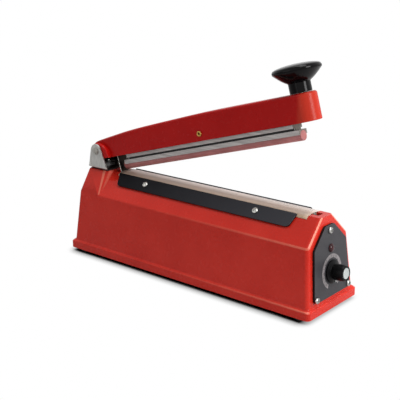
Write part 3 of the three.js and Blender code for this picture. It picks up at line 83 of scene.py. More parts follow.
# The end panel leans back with the front wall, and its frame starts at the middle of the dial
PANEL_FOOT = 297.0
PANEL_LEAN = 4.8
WALL_RISE = SHOULDER_HEIGHT - FLANGE_TOP
PANEL_TILT = math.atan2(PANEL_LEAN, WALL_RISE)
PANEL_FACE = 2.4
DIAL_HEIGHT = 37.5
PANEL_ORIGIN = (PANEL_FOOT - PANEL_LEAN * (DIAL_HEIGHT - FLANGE_TOP) / WALL_RISE, 0.0, DIAL_HEIGHT)

# The heated strip, from its bed in the ridge up
BED_HEIGHT = 86.4
BAR_HEIGHT = 87.2
RIBBON_HEIGHT = 87.4
LAY_GAP = 0.05
CLOTH_THICKNESS = 0.3
CLOTH_WIDTH = 26.5
CLOTH_START = 46.9
CLOTH_END = 277.2
STRIP_THICKNESS = 1.6

scene = bpy.context.scene
record = frame["record"]
BODY_OF = {node: body for body, nodes in record["behaviour"]["bodies"].items() for node in nodes}
SLOT_OF = {part["node"]: part["material_slot"] for part in record["subparts"]}
SIDES = ((-1, "near"), (1, "far"))


def at(x, y, z):
    return Vector(((x - HALF_LENGTH) * MM, y * MM, z * MM))


def place_at(x, y, z):
    return Matrix.Translation(at(x, y, z))


def shift(x, y, z):
    return Matrix.Translation(Vector((x, y, z)) * MM)


# Frames of the open arm and the leaning panel, and the turns that lay Z along X, along Y and down
ARM = place_at(*HINGE) @ Matrix.Rotation(-ARM_ANGLE, 4, "Y")
PANEL = place_at(*PANEL_ORIGIN) @ Matrix.Rotation(-PANEL_TILT, 4, "Y")
TO_X = Matrix.Rotation(math.pi / 2, 4, "Y")
TO_Y = Matrix.Rotation(-math.pi / 2, 4, "X")
DOWN = Matrix.Rotation(math.pi, 4, "X")


def on_shoulder(side, x, rise, lift):
    """A place that far up the slope of one side and that far off it, with Z along its normal."""
    up = Vector((0, -side * math.cos(SLOPE), math.sin(SLOPE)))
    out = Vector((0, side * math.sin(SLOPE), math.cos(SLOPE)))
    start = at(x, side * SHOULDER_HALF, SHOULDER_HEIGHT) + (up * rise + out * lift) * MM
    turn = Matrix((Vector((1, 0, 0)), up, out)).transposed().to_4x4()
    return Matrix.Translation(start) @ turn


def on_panel(y, height, lift):
    """A place on the leaning panel, given by its height above the ground, with Z off the panel."""
    return PANEL @ shift(lift, y, (height - DIAL_HEIGHT) / math.cos(PANEL_TILT)) @ TO_X


def in_arm(middle):
    """A point given in mm from the flange's rear edge, in the arm's own frame, in mm."""
    return (ARM.inverted() @ at(*middle)) / MM


# Camera and light

def make_camera():
    """Stands where the edges in the photo put it."""
    azimuth, elevation, roll = (math.radians(a) for a in (40.0365, 16.5789, -0.3428))
    place = (0.49960, -0.60006, 0.31348)
    right = Vector((math.cos(azimuth), math.sin(azimuth), 0))
    back = Vector((
        math.sin(azimuth) * math.cos(elevation),
        -math.cos(azimuth) * math.cos(elevation),
        math.sin(elevation),
    ))
    level = Matrix((right, back.cross(right), back)).transposed()
    data = bpy.data.cameras.new("camera")
    data.sensor_width = 36
    data.lens = 76.2
    data.shift_x = -0.00983
    data.shift_y = -0.0130
    data.clip_start = 0.05
    data.clip_end = 40
    camera = bpy.data.objects.new("camera", data)
    turned = level @ Matrix.Rotation(roll, 3, "Z")
    camera.matrix_world = Matrix.Translation(place) @ turned.to_4x4()
    scene.collection.objects.link(camera)
    scene.camera = camera


def soft_box(name, where, size, power, mirrored):
    """A soft light aimed at the object; mirrored says if glossy surfaces show it."""
    aim = Vector((0, 0, 0.08))
    data = bpy.data.lights.new(name, "AREA")
    data.shape = "RECTANGLE"
    data.size, data.size_y = size
    data.energy = power
    lamp = bpy.data.objects.new(name, data)
    lamp.location = where
    lamp.rotation_euler = (aim - Vector(where)).to_track_quat("-Z", "Y").to_euler()
    lamp.visible_glossy = mirrored
    scene.collection.objects.link(lamp)


make_camera()
# Name, place in m, width and height in m, power in W, and if glossy surfaces show it
for light in (
    ("key", (1.25, 0.0, 0.62), (0.45, 0.6), 10.5, True),
    ("side", (0.8, 0.95, 0.55), (0.4, 0.4), 8.0, False),
    ("overhead", (0.05, 0.1, 1.4), (1.2, 0.5), 12.2, True),
    ("fill", (-0.4, -1.6, 0.5), (1.2, 0.9), 2.8, True),
):
    soft_box(*light)

# Materials

COORDINATES = "ShaderNodeTexCoord"
SPLIT = "ShaderNodeSeparateXYZ"
TURN = "ShaderNodeMapping"
NOISE = "ShaderNodeTexNoise"
WAVE = "ShaderNodeTexWave"
RAMP = "ShaderNodeValToRGB"
MIX = "ShaderNodeMix"
MATH = "ShaderNodeMath"


def linear(colour):
    channels = [int(colour[i:i + 2], 16) / 255 for i in (1, 3, 5)]
    return [c / 12.92 if c <= 0.04045 else ((c + 0.055) / 1.055) ** 2.4 for c in channels] + [1.0]


def add(tree, kind, inputs=None, stops=(), **settings):
    """Adds a node, with its settings, the values or links of its inputs and, for a ramp, its stops."""
    made = tree.nodes.new(kind)
    for name, value in settings.items():
        setattr(made, name, value)
    for socket, value in (inputs or {}).items():
        if isinstance(value, bpy.types.NodeSocket):
            tree.links.new(value, made.inputs[socket])
        else:
            made.inputs[socket].default_value = value
    for i, (place, colour) in enumerate(stops):
        band = made.color_ramp.elements
        stop = band[i] if i < 2 else band.new(place)
        stop.position = place
        stop.color = linear(colour) if isinstance(colour, str) else (colour, colour, colour, 1.0)
    return made


def finish_named(name, **shader_values):
    """A material whose shader has these values, ready for its pattern: (material, tree, shader)."""
    material = bpy.data.materials.new(name)
    material.use_nodes = True
    tree = material.node_tree
    tree.nodes.clear()
    shader = add(tree, "ShaderNodeBsdfPrincipled")
    for socket, value in shader_values.items():
        shader.inputs[socket.replace("_", " ")].default_value = value
    add(tree, "ShaderNodeOutputMaterial", {"Surface": shader.outputs["BSDF"]})
    return material, tree, shader


def lay_on(tree, shader, tone, rough, height, depth, relief):
    """Links a pattern to the shader: its colour, its roughness, and its height as relief in mm."""
    tree.links.new(tone, shader.inputs["Base Color"])
    tree.links.new(rough, shader.inputs["Roughness"])
    bump = add(tree, "ShaderNodeBump", {"Height": height, "Strength": depth, "Distance": relief * MM})
    tree.links.new(bump.outputs["Normal"], shader.inputs["Normal"])


def per_mm(size):
    """A texture's scale for a pattern whose features are that many millimetres across."""
    return 1 / (size * MM)


def waves(pitch):
    """A wave texture's scale for waves that many millimetres apart, 20 being the waves' own factor."""
    return 2 * math.pi / (20 * pitch * MM)


def blend_along(tree, place, tone, low, high, colour):
    """The tone, turning to the colour from low to high along X, in mm of the shared frame."""
    along = add(tree, SPLIT, {"Vector": place}).outputs["X"]
    share = add(tree, "ShaderNodeMapRange", {"Value": along, "From Min": low * MM, "From Max": high * MM})
    blend = {"Factor": share.outputs["Result"], "A": tone, "B": linear(colour)}
    return add(tree, MIX, blend, data_type="RGBA").outputs["Result"]


def blend_marked(tree, tone, other):
    """The tone, turning to the other on the faces that carry the attribute "arris"."""
    marked = add(tree, "ShaderNodeAttribute", attribute_name="arris").outputs["Fac"]
    return add(tree, MIX, {"Factor": marked, "A": tone, "B": other}, data_type="RGBA").outputs["Result"]


def enamel(name, deep, mid, pale, gloss, nose=None):
    # Stoved enamel on an iron casting: even and glossy, with the faint ripple of a sprayed coat
    # (orange peel about 2 mm across). The rounded arrises, which carry the attribute "arris", are
    # painted a pale highlight colour, a painted highlight; every edge is painted warmer, a painted
    # highlight where edges catch the light. Nose gives two places along X in mm and the lighter,
    # warmer colour painted between them, a painted highlight where the light falls on the nose.
    patch_size, grain_size, peel_size, edge_radius = 45, 6, 2.2, 1.2
    material, tree, shader = finish_named(name, Specular_IOR_Level=gloss)
    place = add(tree, COORDINATES).outputs["Object"]
    patches = add(tree, NOISE, {"Vector": place, "Scale": per_mm(patch_size), "Detail": 2.0})
    tone = add(
        tree, RAMP, {"Fac": patches.outputs["Fac"]}, ((0.3, deep), (0.5, mid), (0.72, pale))
    ).outputs["Color"]
    # Painted highlight: a lighter, warmer colour between the two places along X on the nose
    if nose:
        tone = blend_along(tree, place, tone, *nose)
    # Painted highlight: the bevel normal finds every edge, and the coat is painted warmer there
    rounded = add(tree, "ShaderNodeBevel", {"Radius": edge_radius * MM}, samples=8).outputs["Normal"]
    flat = add(tree, "ShaderNodeNewGeometry").outputs["Normal"]
    bend = add(tree, "ShaderNodeVectorMath", {0: rounded, 1: flat}, operation="DOT_PRODUCT")
    edge = add(tree, RAMP, {"Fac": bend.outputs["Value"]}, ((0.8, 0.22), (0.99, 0.0))).outputs["Color"]
    edge_highlight = add(tree, MIX, {"Factor": edge, "A": tone, "B": linear("#dc3f2b")}, data_type="RGBA")
    colour = blend_marked(tree, edge_highlight.outputs["Result"], linear("#f09c80"))
    grains = add(tree, NOISE, {"Vector": place, "Scale": per_mm(grain_size), "Detail": 3.0})
    rough = add(tree, RAMP, {"Fac": grains.outputs["Fac"]}, ((0.35, 0.25), (0.7, 0.285)))
    ripple = add(tree, NOISE, {"Vector": place, "Scale": per_mm(peel_size), "Detail": 1.0})
    lay_on(tree, shader, colour, rough.outputs["Color"], ripple.outputs["Fac"], 0.05, 0.2)
    return material


def moulded(name, dark, light, rough, grain, depth, edge=None, **values):
    # A moulded or cast skin: fine grain in the surface, roughness that wanders a little. Edge is the
    # colour of the faces that carry the attribute "arris".
    cloud_size, relief = 14, 0.1
    material, tree, shader = finish_named(name, **values)
    place = add(tree, COORDINATES).outputs["Object"]
    clouds = add(tree, NOISE, {"Vector": place, "Scale": per_mm(cloud_size), "Detail": 4.0}).outputs["Fac"]
    tone = add(tree, RAMP, {"Fac": clouds}, ((0.32, dark), (0.7, light))).outputs["Color"]
    if edge:
        tone = blend_marked(tree, tone, linear(edge))
    matt = add(tree, RAMP, {"Fac": clouds}, ((0.3, rough * 0.85), (0.7, rough * 1.15))).outputs["Color"]
    skin = add(tree, NOISE, {"Vector": place, "Scale": per_mm(grain), "Detail": 2.0}).outputs["Fac"]
    lay_on(tree, shader, tone, matt, skin, depth, relief)
    return material


def drawn_metal(name, dark, light, rough, stretch, line, turn=(0, 0, 0), depth=0.15, inside=None,
                toward=None, sawn=None, **values):
    # Plated, rolled or drawn metal: fine lines along the way it was worked, uneven brightness. Inside
    # gives a half width in mm and the colour that the sheet has nearer the middle than that. Toward
    # gives two places along X in mm and the colour that it turns to between them. Sawn is the colour
    # of its matt cut ends, which carry the attribute "arris".
    cloud_size, sawn_rough, relief = 11, 0.95, 0.08
    material, tree, shader = finish_named(name, Metallic=1.0, **values)
    place = add(tree, COORDINATES).outputs["Object"]
    mapped = add(tree, TURN, {"Vector": place, "Rotation": turn, "Scale": stretch}).outputs["Vector"]
    lines = add(tree, NOISE, {"Vector": mapped, "Scale": per_mm(line), "Detail": 3.0}).outputs["Fac"]
    tone = add(tree, RAMP, {"Fac": lines}, ((0.3, dark), (0.72, light))).outputs["Color"]
    if inside:
        half, shade = inside
        across = add(tree, SPLIT, {"Vector": place}).outputs["Y"]
        width = add(tree, MATH, {0: across}, operation="ABSOLUTE").outputs[0]
        within = add(tree, MATH, {0: width, 1: half * MM}, operation="LESS_THAN").outputs[0]
        tone = add(
            tree, MIX, {"Factor": within, "A": tone, "B": linear(shade)}, data_type="RGBA"
        ).outputs["Result"]
    if toward:
        tone = blend_along(tree, place, tone, *toward)
    clouds = add(tree, NOISE, {"Vector": place, "Scale": per_mm(cloud_size), "Detail": 5.0}).outputs["Fac"]
    matt = add(tree, RAMP, {"Fac": clouds}, ((0.3, rough * 0.75), (0.72, rough * 1.3))).outputs["Color"]
    if sawn:
        tone = blend_marked(tree, tone, linear(sawn))
        matt = blend_marked(tree, matt, (sawn_rough, sawn_rough, sawn_rough, 1.0))
    lay_on(tree, shader, tone, matt, lines, depth, relief)
    return material


def woven_cloth():
    # PTFE-coated glass cloth: a plain weave of about 0.5 mm threads under a smooth tan coating, drawn
    # at 0.9 mm so that it shows; painted darker on the near side of the hot ribbon, a painted shade
    # where the cloth slopes away from the light, with long streaks.
    thread, streak_size, streak_share, relief = 0.9, 4, 0.12, 0.12
    material, tree, shader = finish_named("coated_glass_cloth", Specular_IOR_Level=0.4)
    uv = add(tree, COORDINATES).outputs["UV"]
    warp, weft = (
        add(
            tree, WAVE, {"Vector": uv, "Scale": waves(thread), "Distortion": 0.4, "Detail": 1.0},
            bands_direction=way,
        ).outputs["Fac"]
        for way in ("X", "Y")
    )
    weave = add(tree, MATH, {0: warp, 1: weft}, operation="MULTIPLY").outputs["Value"]
    place = add(tree, COORDINATES).outputs["Object"]
    drawn = add(tree, TURN, {"Vector": place, "Scale": (streak_share, 1, 1)}).outputs["Vector"]
    stains = add(
        tree, NOISE, {"Vector": drawn, "Scale": per_mm(streak_size), "Detail": 4.0}
    ).outputs["Fac"]
    across = add(tree, SPLIT, {"Vector": uv}).outputs["Y"]
    share = add(tree, MATH, {0: across, 1: CLOTH_WIDTH * MM}, operation="DIVIDE").outputs["Value"]
    # Painted shade across the cloth: pale on the far side, darkest on the near side of the ribbon
    colour = add(tree, RAMP, {"Fac": share}, (
        (0.3, "#e0d2ca"), (0.46, "#d4c3b8"), (0.62, "#bca597"), (0.78, "#c6b09f"), (0.95, "#c9ac90"),
    )).outputs["Color"]
    for pattern, stops in ((stains, ((0.35, 0.8), (0.6, 1.0))), (weave, ((0.0, 0.86), (0.8, 1.0)))):
        shade = add(tree, RAMP, {"Fac": pattern}, stops).outputs["Color"]
        colour = add(
            tree, MIX, {"Factor": 1.0, "A": colour, "B": shade}, data_type="RGBA", blend_type="MULTIPLY"
        ).outputs["Result"]
    rough = add(tree, RAMP, {"Fac": stains}, ((0.3, 0.42), (0.7, 0.6))).outputs["Color"]
    lay_on(tree, shader, colour, rough, weave, 0.35, relief)
    return material


def banded(name, dark, light, rough, pitch, direction, metallic=0.0, **values):
    # Layers or turns that lie side by side: laminations, windings, ribs of tape
    cloud_size, relief = 9, 0.2
    material, tree, shader = finish_named(name, Metallic=metallic, **values)
    place = add(tree, COORDINATES).outputs["Object"]
    bands = add(
        tree, WAVE, {"Vector": place, "Scale": waves(pitch), "Distortion": 0.6, "Detail": 1.5},
        bands_direction=direction,
    ).outputs["Fac"]
    tone = add(tree, RAMP, {"Fac": bands}, ((0.1, dark), (0.8, light))).outputs["Color"]
    clouds = add(tree, NOISE, {"Vector": place, "Scale": per_mm(cloud_size), "Detail": 4.0}).outputs["Fac"]
    matt = add(tree, RAMP, {"Fac": clouds}, ((0.3, rough * 0.8), (0.7, rough * 1.2))).outputs["Color"]
    lay_on(tree, shader, tone, matt, bands, 0.4, relief)
    return material


def circuit_green():
    # Solder mask over copper tracks: glossy green, the tracks a shade paler, about 5 mm apart
    track_pitch, cloud_size = 5, 4
    material, tree, shader = finish_named("solder_mask", Coat_Weight=0.4)
    place = add(tree, COORDINATES).outputs["Object"]
    tracks = add(
        tree, "ShaderNodeTexVoronoi", {"Vector": place, "Scale": per_mm(track_pitch)},
        feature="DISTANCE_TO_EDGE",
    ).outputs["Distance"]
    tone = add(tree, RAMP, {"Fac": tracks}, ((0.05, "#4c9a58"), (0.12, "#215c31")))
    tree.links.new(tone.outputs["Color"], shader.inputs["Base Color"])
    clouds = add(tree, NOISE, {"Vector": place, "Scale": per_mm(cloud_size), "Detail": 3.0}).outputs["Fac"]
    matt = add(tree, RAMP, {"Fac": clouds}, ((0.3, 0.28), (0.7, 0.42)))
    tree.links.new(matt.outputs["Color"], shader.inputs["Roughness"])
    return material


def cast_lens():
    # Red acrylic over an unlit lamp: dark and deep, with a sharp highlight and faint moulding flow
    flow_size = 2
    material, tree, shader = finish_named("red_acrylic_lens", IOR=1.49, Specular_IOR_Level=0.35)
    place = add(tree, COORDINATES).outputs["Object"]
    flow = add(tree, NOISE, {"Vector": place, "Scale": per_mm(flow_size), "Detail": 2.0}).outputs["Fac"]
    tone = add(tree, RAMP, {"Fac": flow}, ((0.3, "#240106"), (0.7, "#38030a")))
    tree.links.new(tone.outputs["Color"], shader.inputs["Base Color"])
    gloss = add(tree, RAMP, {"Fac": flow}, ((0.3, 0.06), (0.7, 0.14)))
    tree.links.new(gloss.outputs["Color"], shader.inputs["Roughness"])
    return material


EVEN = (1, 1, 1)
LONG_IN_X = (0.06, 1, 1)
ANODISED = ("#08080a", "#121316", 0.42, LONG_IN_X, 0.7)
PRINT = {"rough": 0.5, "grain": 0.6, "depth": 0.05}
FINISH = {
    "red_enamel": enamel("stoved_red_enamel", "#be2417", "#c4281b", "#c92d20", 0.2),
    # Polished phenolic: deep black with a clear gloss
    "black_phenolic": moulded(
        "polished_phenolic", "#040304", "#080708", 0.12, 1.6, 0.03, Specular_IOR_Level=0.12
    ),
    # Injection-moulded ABS: satin black, fine spark-eroded grain of 0.4 mm
    "black_abs": moulded("satin_abs", "#050506", "#0a0a0b", 0.34, 0.4, 0.12, Specular_IOR_Level=0.09),
    # Black anodised aluminium sheet: soft satin, painted paler toward the front, a painted
    # reflection where the light grazes it
    "black_anodised": drawn_metal(
        "black_anodised_sheet", *ANODISED, depth=0.06, toward=(-107, 111, "#3a3a3e")
    ),
    # Bright zinc on rolled steel sheet: greyish silver, cloudy, not quite polished
    "zinc_steel": drawn_metal(
        "zinc_plated_sheet", "#8f8c86", "#b9b6af", 0.36, (1, 1, 0.12), 0.8, depth=0.08
    ),
    # Nickel-plated screw steel: bright, smooth, turning marks too fine to see
    "bright_steel": drawn_metal("nickel_plated_steel", "#9a9995", "#c6c5c1", 0.2, EVEN, 0.6, depth=0.05),
    # Blued spring steel: brown-black, oily sheen
    "dark_steel": drawn_metal("blued_spring_steel", "#1f1b19", "#3a3430", 0.38, (1, 1, 0.3), 0.9, depth=0.1),
    # Aluminium extrusion: satin silver with die lines 0.8 mm apart along its length, matt sawn ends
    "extruded_aluminium": drawn_metal(
        "extruded_aluminium", "#969290", "#bdb9b7", 0.48, (0.02, 1, 1), 0.8, (0, ARM_ANGLE, 0), 0.12,
        sawn="#a09b95",
    ),
    # Moulded silicone rubber: dusty pink-brown, soft sheen, skin grain of 0.5 mm
    "silicone": moulded(
        "moulded_silicone", "#a0605f", "#b5716f", 0.5, 0.5, 0.1, Subsurface_Weight=0.15,
        Subsurface_Scale=1.0 * MM,
    ),
    # Turned brass, slightly dull from handling
    "brass": drawn_metal("turned_brass", "#9c7838", "#c9a55e", 0.28, EVEN, 0.7, depth=0.06),
    # Rolled nichrome ribbon, heat-greyed
    "nichrome": drawn_metal("nichrome_ribbon", "#74706b", "#9a9690", 0.4, (0.05, 1, 1), 0.6, depth=0.06),
    "ptfe_cloth": woven_cloth(),
    # Pressed fibre board: matt brown, short fibres 1 mm long
    "fibre_board": moulded("pressed_fibre_board", "#5c4028", "#80603f", 0.82, 1.0, 0.4),
    # Moulded nitrile rubber: matt, nearly black
    "black_rubber": moulded("moulded_rubber", "#121212", "#1c1c1d", 0.85, 0.7, 0.25),
    # Printed polycarbonate laminate on steel: even dark grey, very fine matt grain, its cut edges
    # painted black, a painted shade around its border
    "grey_laminate": moulded(
        "printed_laminate", "#333235", "#3a393c", 0.45, 0.35, 0.08, "#070607", Specular_IOR_Level=0.2
    ),
    "red_lens": cast_lens(),
    # Glossy moulded cap: cool white
    "white_cap": moulded(
        "glossy_white_cap", "#a3a9a8", "#adb3b1", 0.25, 1.5, 0.03, Specular_IOR_Level=0.25
    ),
    "circuit_board": circuit_green(),
    # Moulded relay case: blue, satin
    "relay_case": moulded("blue_relay_case", "#24508c", "#2f62a6", 0.4, 0.5, 0.1),
    # Polyester tape wound over the primary coil: yellow, each lap edge a fine line 5 mm apart
    "coil_tape": banded("yellow_winding_tape", "#b08b2c", "#d1ae4b", 0.3, 5.0, "Z", Coat_Weight=0.3),
    # Enamelled copper wire, 1.2 mm turns
    "copper_winding": banded("enamelled_copper_wire", "#6e3314", "#b56a38", 0.28, 1.2, "Z", metallic=0.8),
}
# The arm is enamelled in a deeper red than the casting, and painted a lighter, warmer red on its
# nose, a painted highlight where the light falls on it
ARM_ENAMEL = enamel("deep_red_enamel", "#a80c0a", "#ae0e0c", "#b4110e", 0.13, (107, 110.5, "#b83020"))
# The bracket's sheet is bright outside, and painted dark inside, between its cheeks: painted shade
BRACKET_STEEL = drawn_metal(
    "zinc_sheet_painted_shade_inside", "#aaa9a6", "#c6c5c1", 0.38, (1, 1, 0.12), 0.8, depth=0.05, inside=(16.8, "#2b2520")
)
# The far strip's upper edge is painted pale grey, a painted reflection of the room's light on it
FAR_STRIP = drawn_metal("anodised_sheet_painted_edge_reflection", *ANODISED, depth=0.06, inside=(10.9, "#94969a"))
# The blade is blued on its faces and bare and bright on its sheared edges
BLADE_STEEL = drawn_metal(
    "sheared_spring_steel", "#a8a49d", "#cbc7c0", 0.34, (1, 1, 0.3), 0.9, depth=0.1, inside=(5.75, "#231d1a")
)
# Stacked transformer laminations, 0.5 mm each, drawn 1 mm so that they show
LAMINATIONS = banded("stacked_laminations", "#2a2725", "#57514c", 0.45, 1.0, "Y", metallic=0.8)
# Silver-grey screen print on the panel, slightly rubbed
DIAL_PRINT = moulded("silver_screen_print", "#6d6869", "#868081", **PRINT)
# Dark grey screen print for the numbers
NUMBER_PRINT = moulded("grey_screen_print", "#232124", "#2c2a2d", **PRINT)

# Making pieces

def from_cad(node):
    """The node's solid as a bmesh with whole faces instead of loose triangles."""
    bm = bmesh.new()
    bm.from_mesh(frame["nodes"][node].data)
    bmesh.ops.remove_doubles(bm, verts=bm.verts, dist=0.001 * MM)
    bmesh.ops.dissolve_limit(bm, angle_limit=math.radians(0.6), verts=bm.verts, edges=bm.edges)
    bm.faces.layers.float.new("arris")
    return bm


def from_rear(point):
    """A mesh's point in mm, with X from the flange's rear edge."""
    return point / MM + Vector((HALF_LENGTH, 0, 0))


def near(value, target, slack=0.1):
    return abs(value - target) < slack


def outer_edges(bm, degrees, test=None):
    """Edges that stick out by more than the angle, as far as the test on their middle, in mm, allows."""
    found = []
    for edge in bm.edges:
        bend = edge.calc_face_angle_signed() if edge.is_manifold else 0
        if bend < math.radians(degrees):
            continue
        middle = from_rear((edge.verts[0].co + edge.verts[1].co) / 2)
        if test is None or test(middle, edge):
            found.append(edge)
    return found


def mark_faces(bm, share, test, ahead=0.0, faces=None):
    """Gives faces a share of their finish's edge colour, where the test on middle, in mm, and normal
    allows; ahead is what comes on top of it at the front."""
    layer = bm.faces.layers.float["arris"]
    for face in bm.faces if faces is None else faces:
        middle = from_rear(face.calc_center_median())
        if test(middle, face.normal):
            face[layer] = share + ahead * (middle.x / FLANGE_LENGTH) ** 3


def round_off(bm, edges, width, segments, clamp=True, bright=0.0, ahead=0.0):
    """Rounds the edges; bright and ahead say how much of the finish's marked colour the new faces
    get, which on the enamel is a painted highlight.
    """
    made = bmesh.ops.bevel(
        bm, geom=list(edges), offset=width * MM, offset_type="OFFSET", segments=segments, profile=0.5,
        affect="EDGES", clamp_overlap=clamp, material=-1,
    )
    if bright or ahead:
        mark_faces(bm, bright, lambda m, n: True, ahead, made["faces"])


def add_box(bm, size, place):
    """Adds a box of that size in mm at the place."""
    made = bmesh.ops.create_cube(bm, size=1)["verts"]
    sized = Matrix.Diagonal([length * MM for length in size] + [1])
    bmesh.ops.transform(bm, matrix=place @ sized, verts=made)


def revolve(points, turns):
    """A profile of (radius, height) pairs in mm, turned round Z."""
    bm = bmesh.new()
    line = [bm.verts.new((r * MM, 0, z * MM)) for r, z in points]
    edges = [bm.edges.new(pair) for pair in zip(line, line[1:])]
    bmesh.ops.spin(
        bm, geom=line + edges, cent=(0, 0, 0), axis=(0, 0, 1), angle=2 * math.pi, steps=turns,
        use_merge=True, use_duplicate=False,
    )
    bmesh.ops.remove_doubles(bm, verts=bm.verts, dist=0.0005 * MM)
    bmesh.ops.recalc_face_normals(bm, faces=bm.faces)
    return bm


def dome(radius, base, rise, count):
    """The points of a round crown, from its rim up to the axis."""
    points = []
    for i in range(count + 1):
        turn = math.pi / 2 * i / count
        points.append((radius * math.cos(turn) if i < count else 0.0, base + rise * math.sin(turn)))
    return points


def linked(name, data):
    made = bpy.data.objects.new(name, data)
    scene.collection.objects.link(made)
    return made


def mesh_from(name, bm):
    mesh = bpy.data.meshes.new(name)
    bm.to_mesh(mesh)
    bm.free()
    return mesh


def evaluated_mesh(piece):
    """A mesh of what a text or a modifier makes of the object."""
    return bpy.data.meshes.new_from_object(piece.evaluated_get(bpy.context.evaluated_depsgraph_get()))


def show(name, bm, finish, body, slot, stands_for=(), place=None, smooth=32, even=True):
    """Makes the piece's object: its place goes in the mesh, and it rides on its body."""
    if place is not None:
        bm.transform(place)
    mesh = mesh_from(name, bm)
    mesh.shade_smooth()
    mesh.set_sharp_from_angle(angle=math.radians(smooth))
    mesh.materials.append(finish)
    piece = linked(name, mesh)
    if even:
        shading = piece.modifiers.new("even_shading", "WEIGHTED_NORMAL")
        shading.keep_sharp = True
    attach(piece, body)
    if stands_for:
        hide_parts(*stands_for)
    return piece


def dress(node, name, bm, finish=None, **more):
    """A finished piece that stands for one CAD node, in that node's finish."""
    slot = SLOT_OF[node]
    return show(name, bm, finish or FINISH[slot], BODY_OF[node], slot, (node,), **more)


# Housing and base

def make_housing():
    """The casting with its upper arrises rounded; the foot of its walls keeps the facets of the CAD.
    Painted highlights lie on its rounded arrises, on the pedestal's front corners and on the
    flange's top facet; those on the shoulder and the flange grow toward the front.
    """
    bm = from_cad("housing")
    pedestal_start, pedestal_end, slope_front, ridge_front = 20, 40, 285, 277.6
    flange_side, groove_half, shortest = 36, 5, 15
    facet_middle = FLANGE_TOP - FLANGE_FACET / 2

    def level(height, slack, beyond=0):
        def test(m, e):
            return all(near(v.co.z / MM, height, slack) for v in e.verts) and abs(m.y) > beyond
        return test

    def shoulder(m, e):
        return level(SHOULDER_HEIGHT, 0.2)(m, e) and m.x > pedestal_end

    def slope_arris(m, e):
        between = SHOULDER_HEIGHT + 1.1 < m.z < RIDGE_HEIGHT - 0.9
        return between and m.x > slope_front and e.calc_length() > shortest * MM

    def ridge_arris(m, e):
        return level(RIDGE_HEIGHT, 0.1, groove_half)(m, e) and m.x > ridge_front

    def pedestal_facet(from_side, to_side):
        """Faces at the pedestal's corners whose normal lies between two turns away from the side."""
        def test(m, n):
            turn = math.degrees(math.atan2(n.x, abs(n.y)))
            high = SHOULDER_HEIGHT + 0.6 < m.z < RIDGE_HEIGHT + 1.1
            placed = high and pedestal_start < m.x < pedestal_end
            return placed and from_side < turn < to_side and abs(n.z) < 0.9
        return test

    def flange_facet(m, n):
        return near(m.z, facet_middle, 0.35) and abs(n.y) > 0.2 and n.z > 0.5

    # Painted highlights: pale lines on the facets of the pedestal's front corners, where the light falls
    mark_faces(bm, 0.4, pedestal_facet(5, 32))
    mark_faces(bm, 0.18, pedestal_facet(50, 80))
    flange_edge = level(facet_middle, FLANGE_FACET / 2 + 0.1, flange_side)
    for region in (shoulder, flange_edge):
        long = [e for e in outer_edges(bm, 20, region) if e.calc_length() > 100 * MM]
        bmesh.ops.subdivide_edges(bm, edges=long, cuts=15, use_grid_fill=True)
    # Painted highlights: shoulder and flange facet, growing toward the front, then the front arrises
    round_off(bm, outer_edges(bm, 20, shoulder), 1.1, 4, clamp=False, ahead=0.34)
    mark_faces(bm, 0.0, flange_facet, ahead=0.32)
    round_off(bm, outer_edges(bm, 20, slope_arris), 1.5, 4, clamp=False, bright=0.6)
    round_off(bm, outer_edges(bm, 20, ridge_arris), 1.0, 3, bright=0.4)
    dress("housing", "housing_casting", bm)


def make_feet():
    lower_half = 2.5
    for i in range(1, 5):
        bm = from_cad(f"foot_{i}")
        round_off(bm, outer_edges(bm, 40, lambda m, e: m.z < lower_half), 0.35, 2)
        dress(f"foot_{i}", f"rubber_foot_{i}", bm)


make_housing()
make_feet()
dress("base_plate", "base_sheet", from_cad("base_plate"))

# Hinge bracket, pin, clip and spring

def make_bracket():
    """A folded sheet: round folds, cut edges only broken, and a low lip across the rear that stiffens
    it between its cheeks."""
    fold_height, fold_half, cheek_half = 89.2, 18.2, 16.4
    lip_size, lip_place = (1.5, 33.2, 5.2), (10.25, 0, 92.8)
    bm = from_cad("hinge_bracket")

    def fold(m, e):
        return near(m.z, fold_height) and near(abs(m.y), fold_half)

    def cheek(m, e):
        return abs(m.y) > cheek_half and m.z > fold_height + 0.2

    round_off(bm, outer_edges(bm, 60, fold), 1.5, 5)
    round_off(bm, outer_edges(bm, 60, cheek), 0.3, 2)
    add_box(bm, lip_size, place_at(*lip_place))
    dress("hinge_bracket", "bracket_sheet", bm, BRACKET_STEEL)


def make_spring():
    """One wire: a flat turn at the foot, open turns, a flat turn at the head."""
    wire, radius, low, high = 1.4, 4.5, 91.1, 110.3
    reach, open_turns, steps = 28.8, 4, 28
    bm = bmesh.new()
    start = bmesh.ops.create_circle(
        bm, cap_ends=False, segments=12, radius=wire / 2 * MM,
        matrix=shift(radius, 0, low + wire / 2) @ Matrix.Rotation(math.pi / 2, 4, "X"),
    )["verts"]
    geom = start + list({e for v in start for e in v.link_edges})
    flat_pitch = wire + LAY_GAP
    open_pitch = (high - low - wire - 2 * flat_pitch) / open_turns
    for turns, pitch in ((1, flat_pitch), (open_turns, open_pitch), (1, flat_pitch)):
        count = turns * steps
        geom = bmesh.ops.spin(
            bm, geom=geom, cent=(0, 0, 0), axis=(0, 0, 1), dvec=(0, 0, pitch * turns / count * MM),
            angle=2 * math.pi * turns, steps=count, use_merge=False, use_duplicate=False,
        )["geom_last"]
    end = [g for g in geom if isinstance(g, bmesh.types.BMVert)]
    for ring in (start, end):
        rim = [e for e in bm.edges if e.is_boundary and all(v in ring for v in e.verts)]
        bmesh.ops.contextual_create(bm, geom=rim)
    bmesh.ops.recalc_face_normals(bm, faces=bm.faces)
    spring = dress("return_spring", "coil_spring", bm, place=place_at(reach, 0, 0), even=False)
    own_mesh(spring)


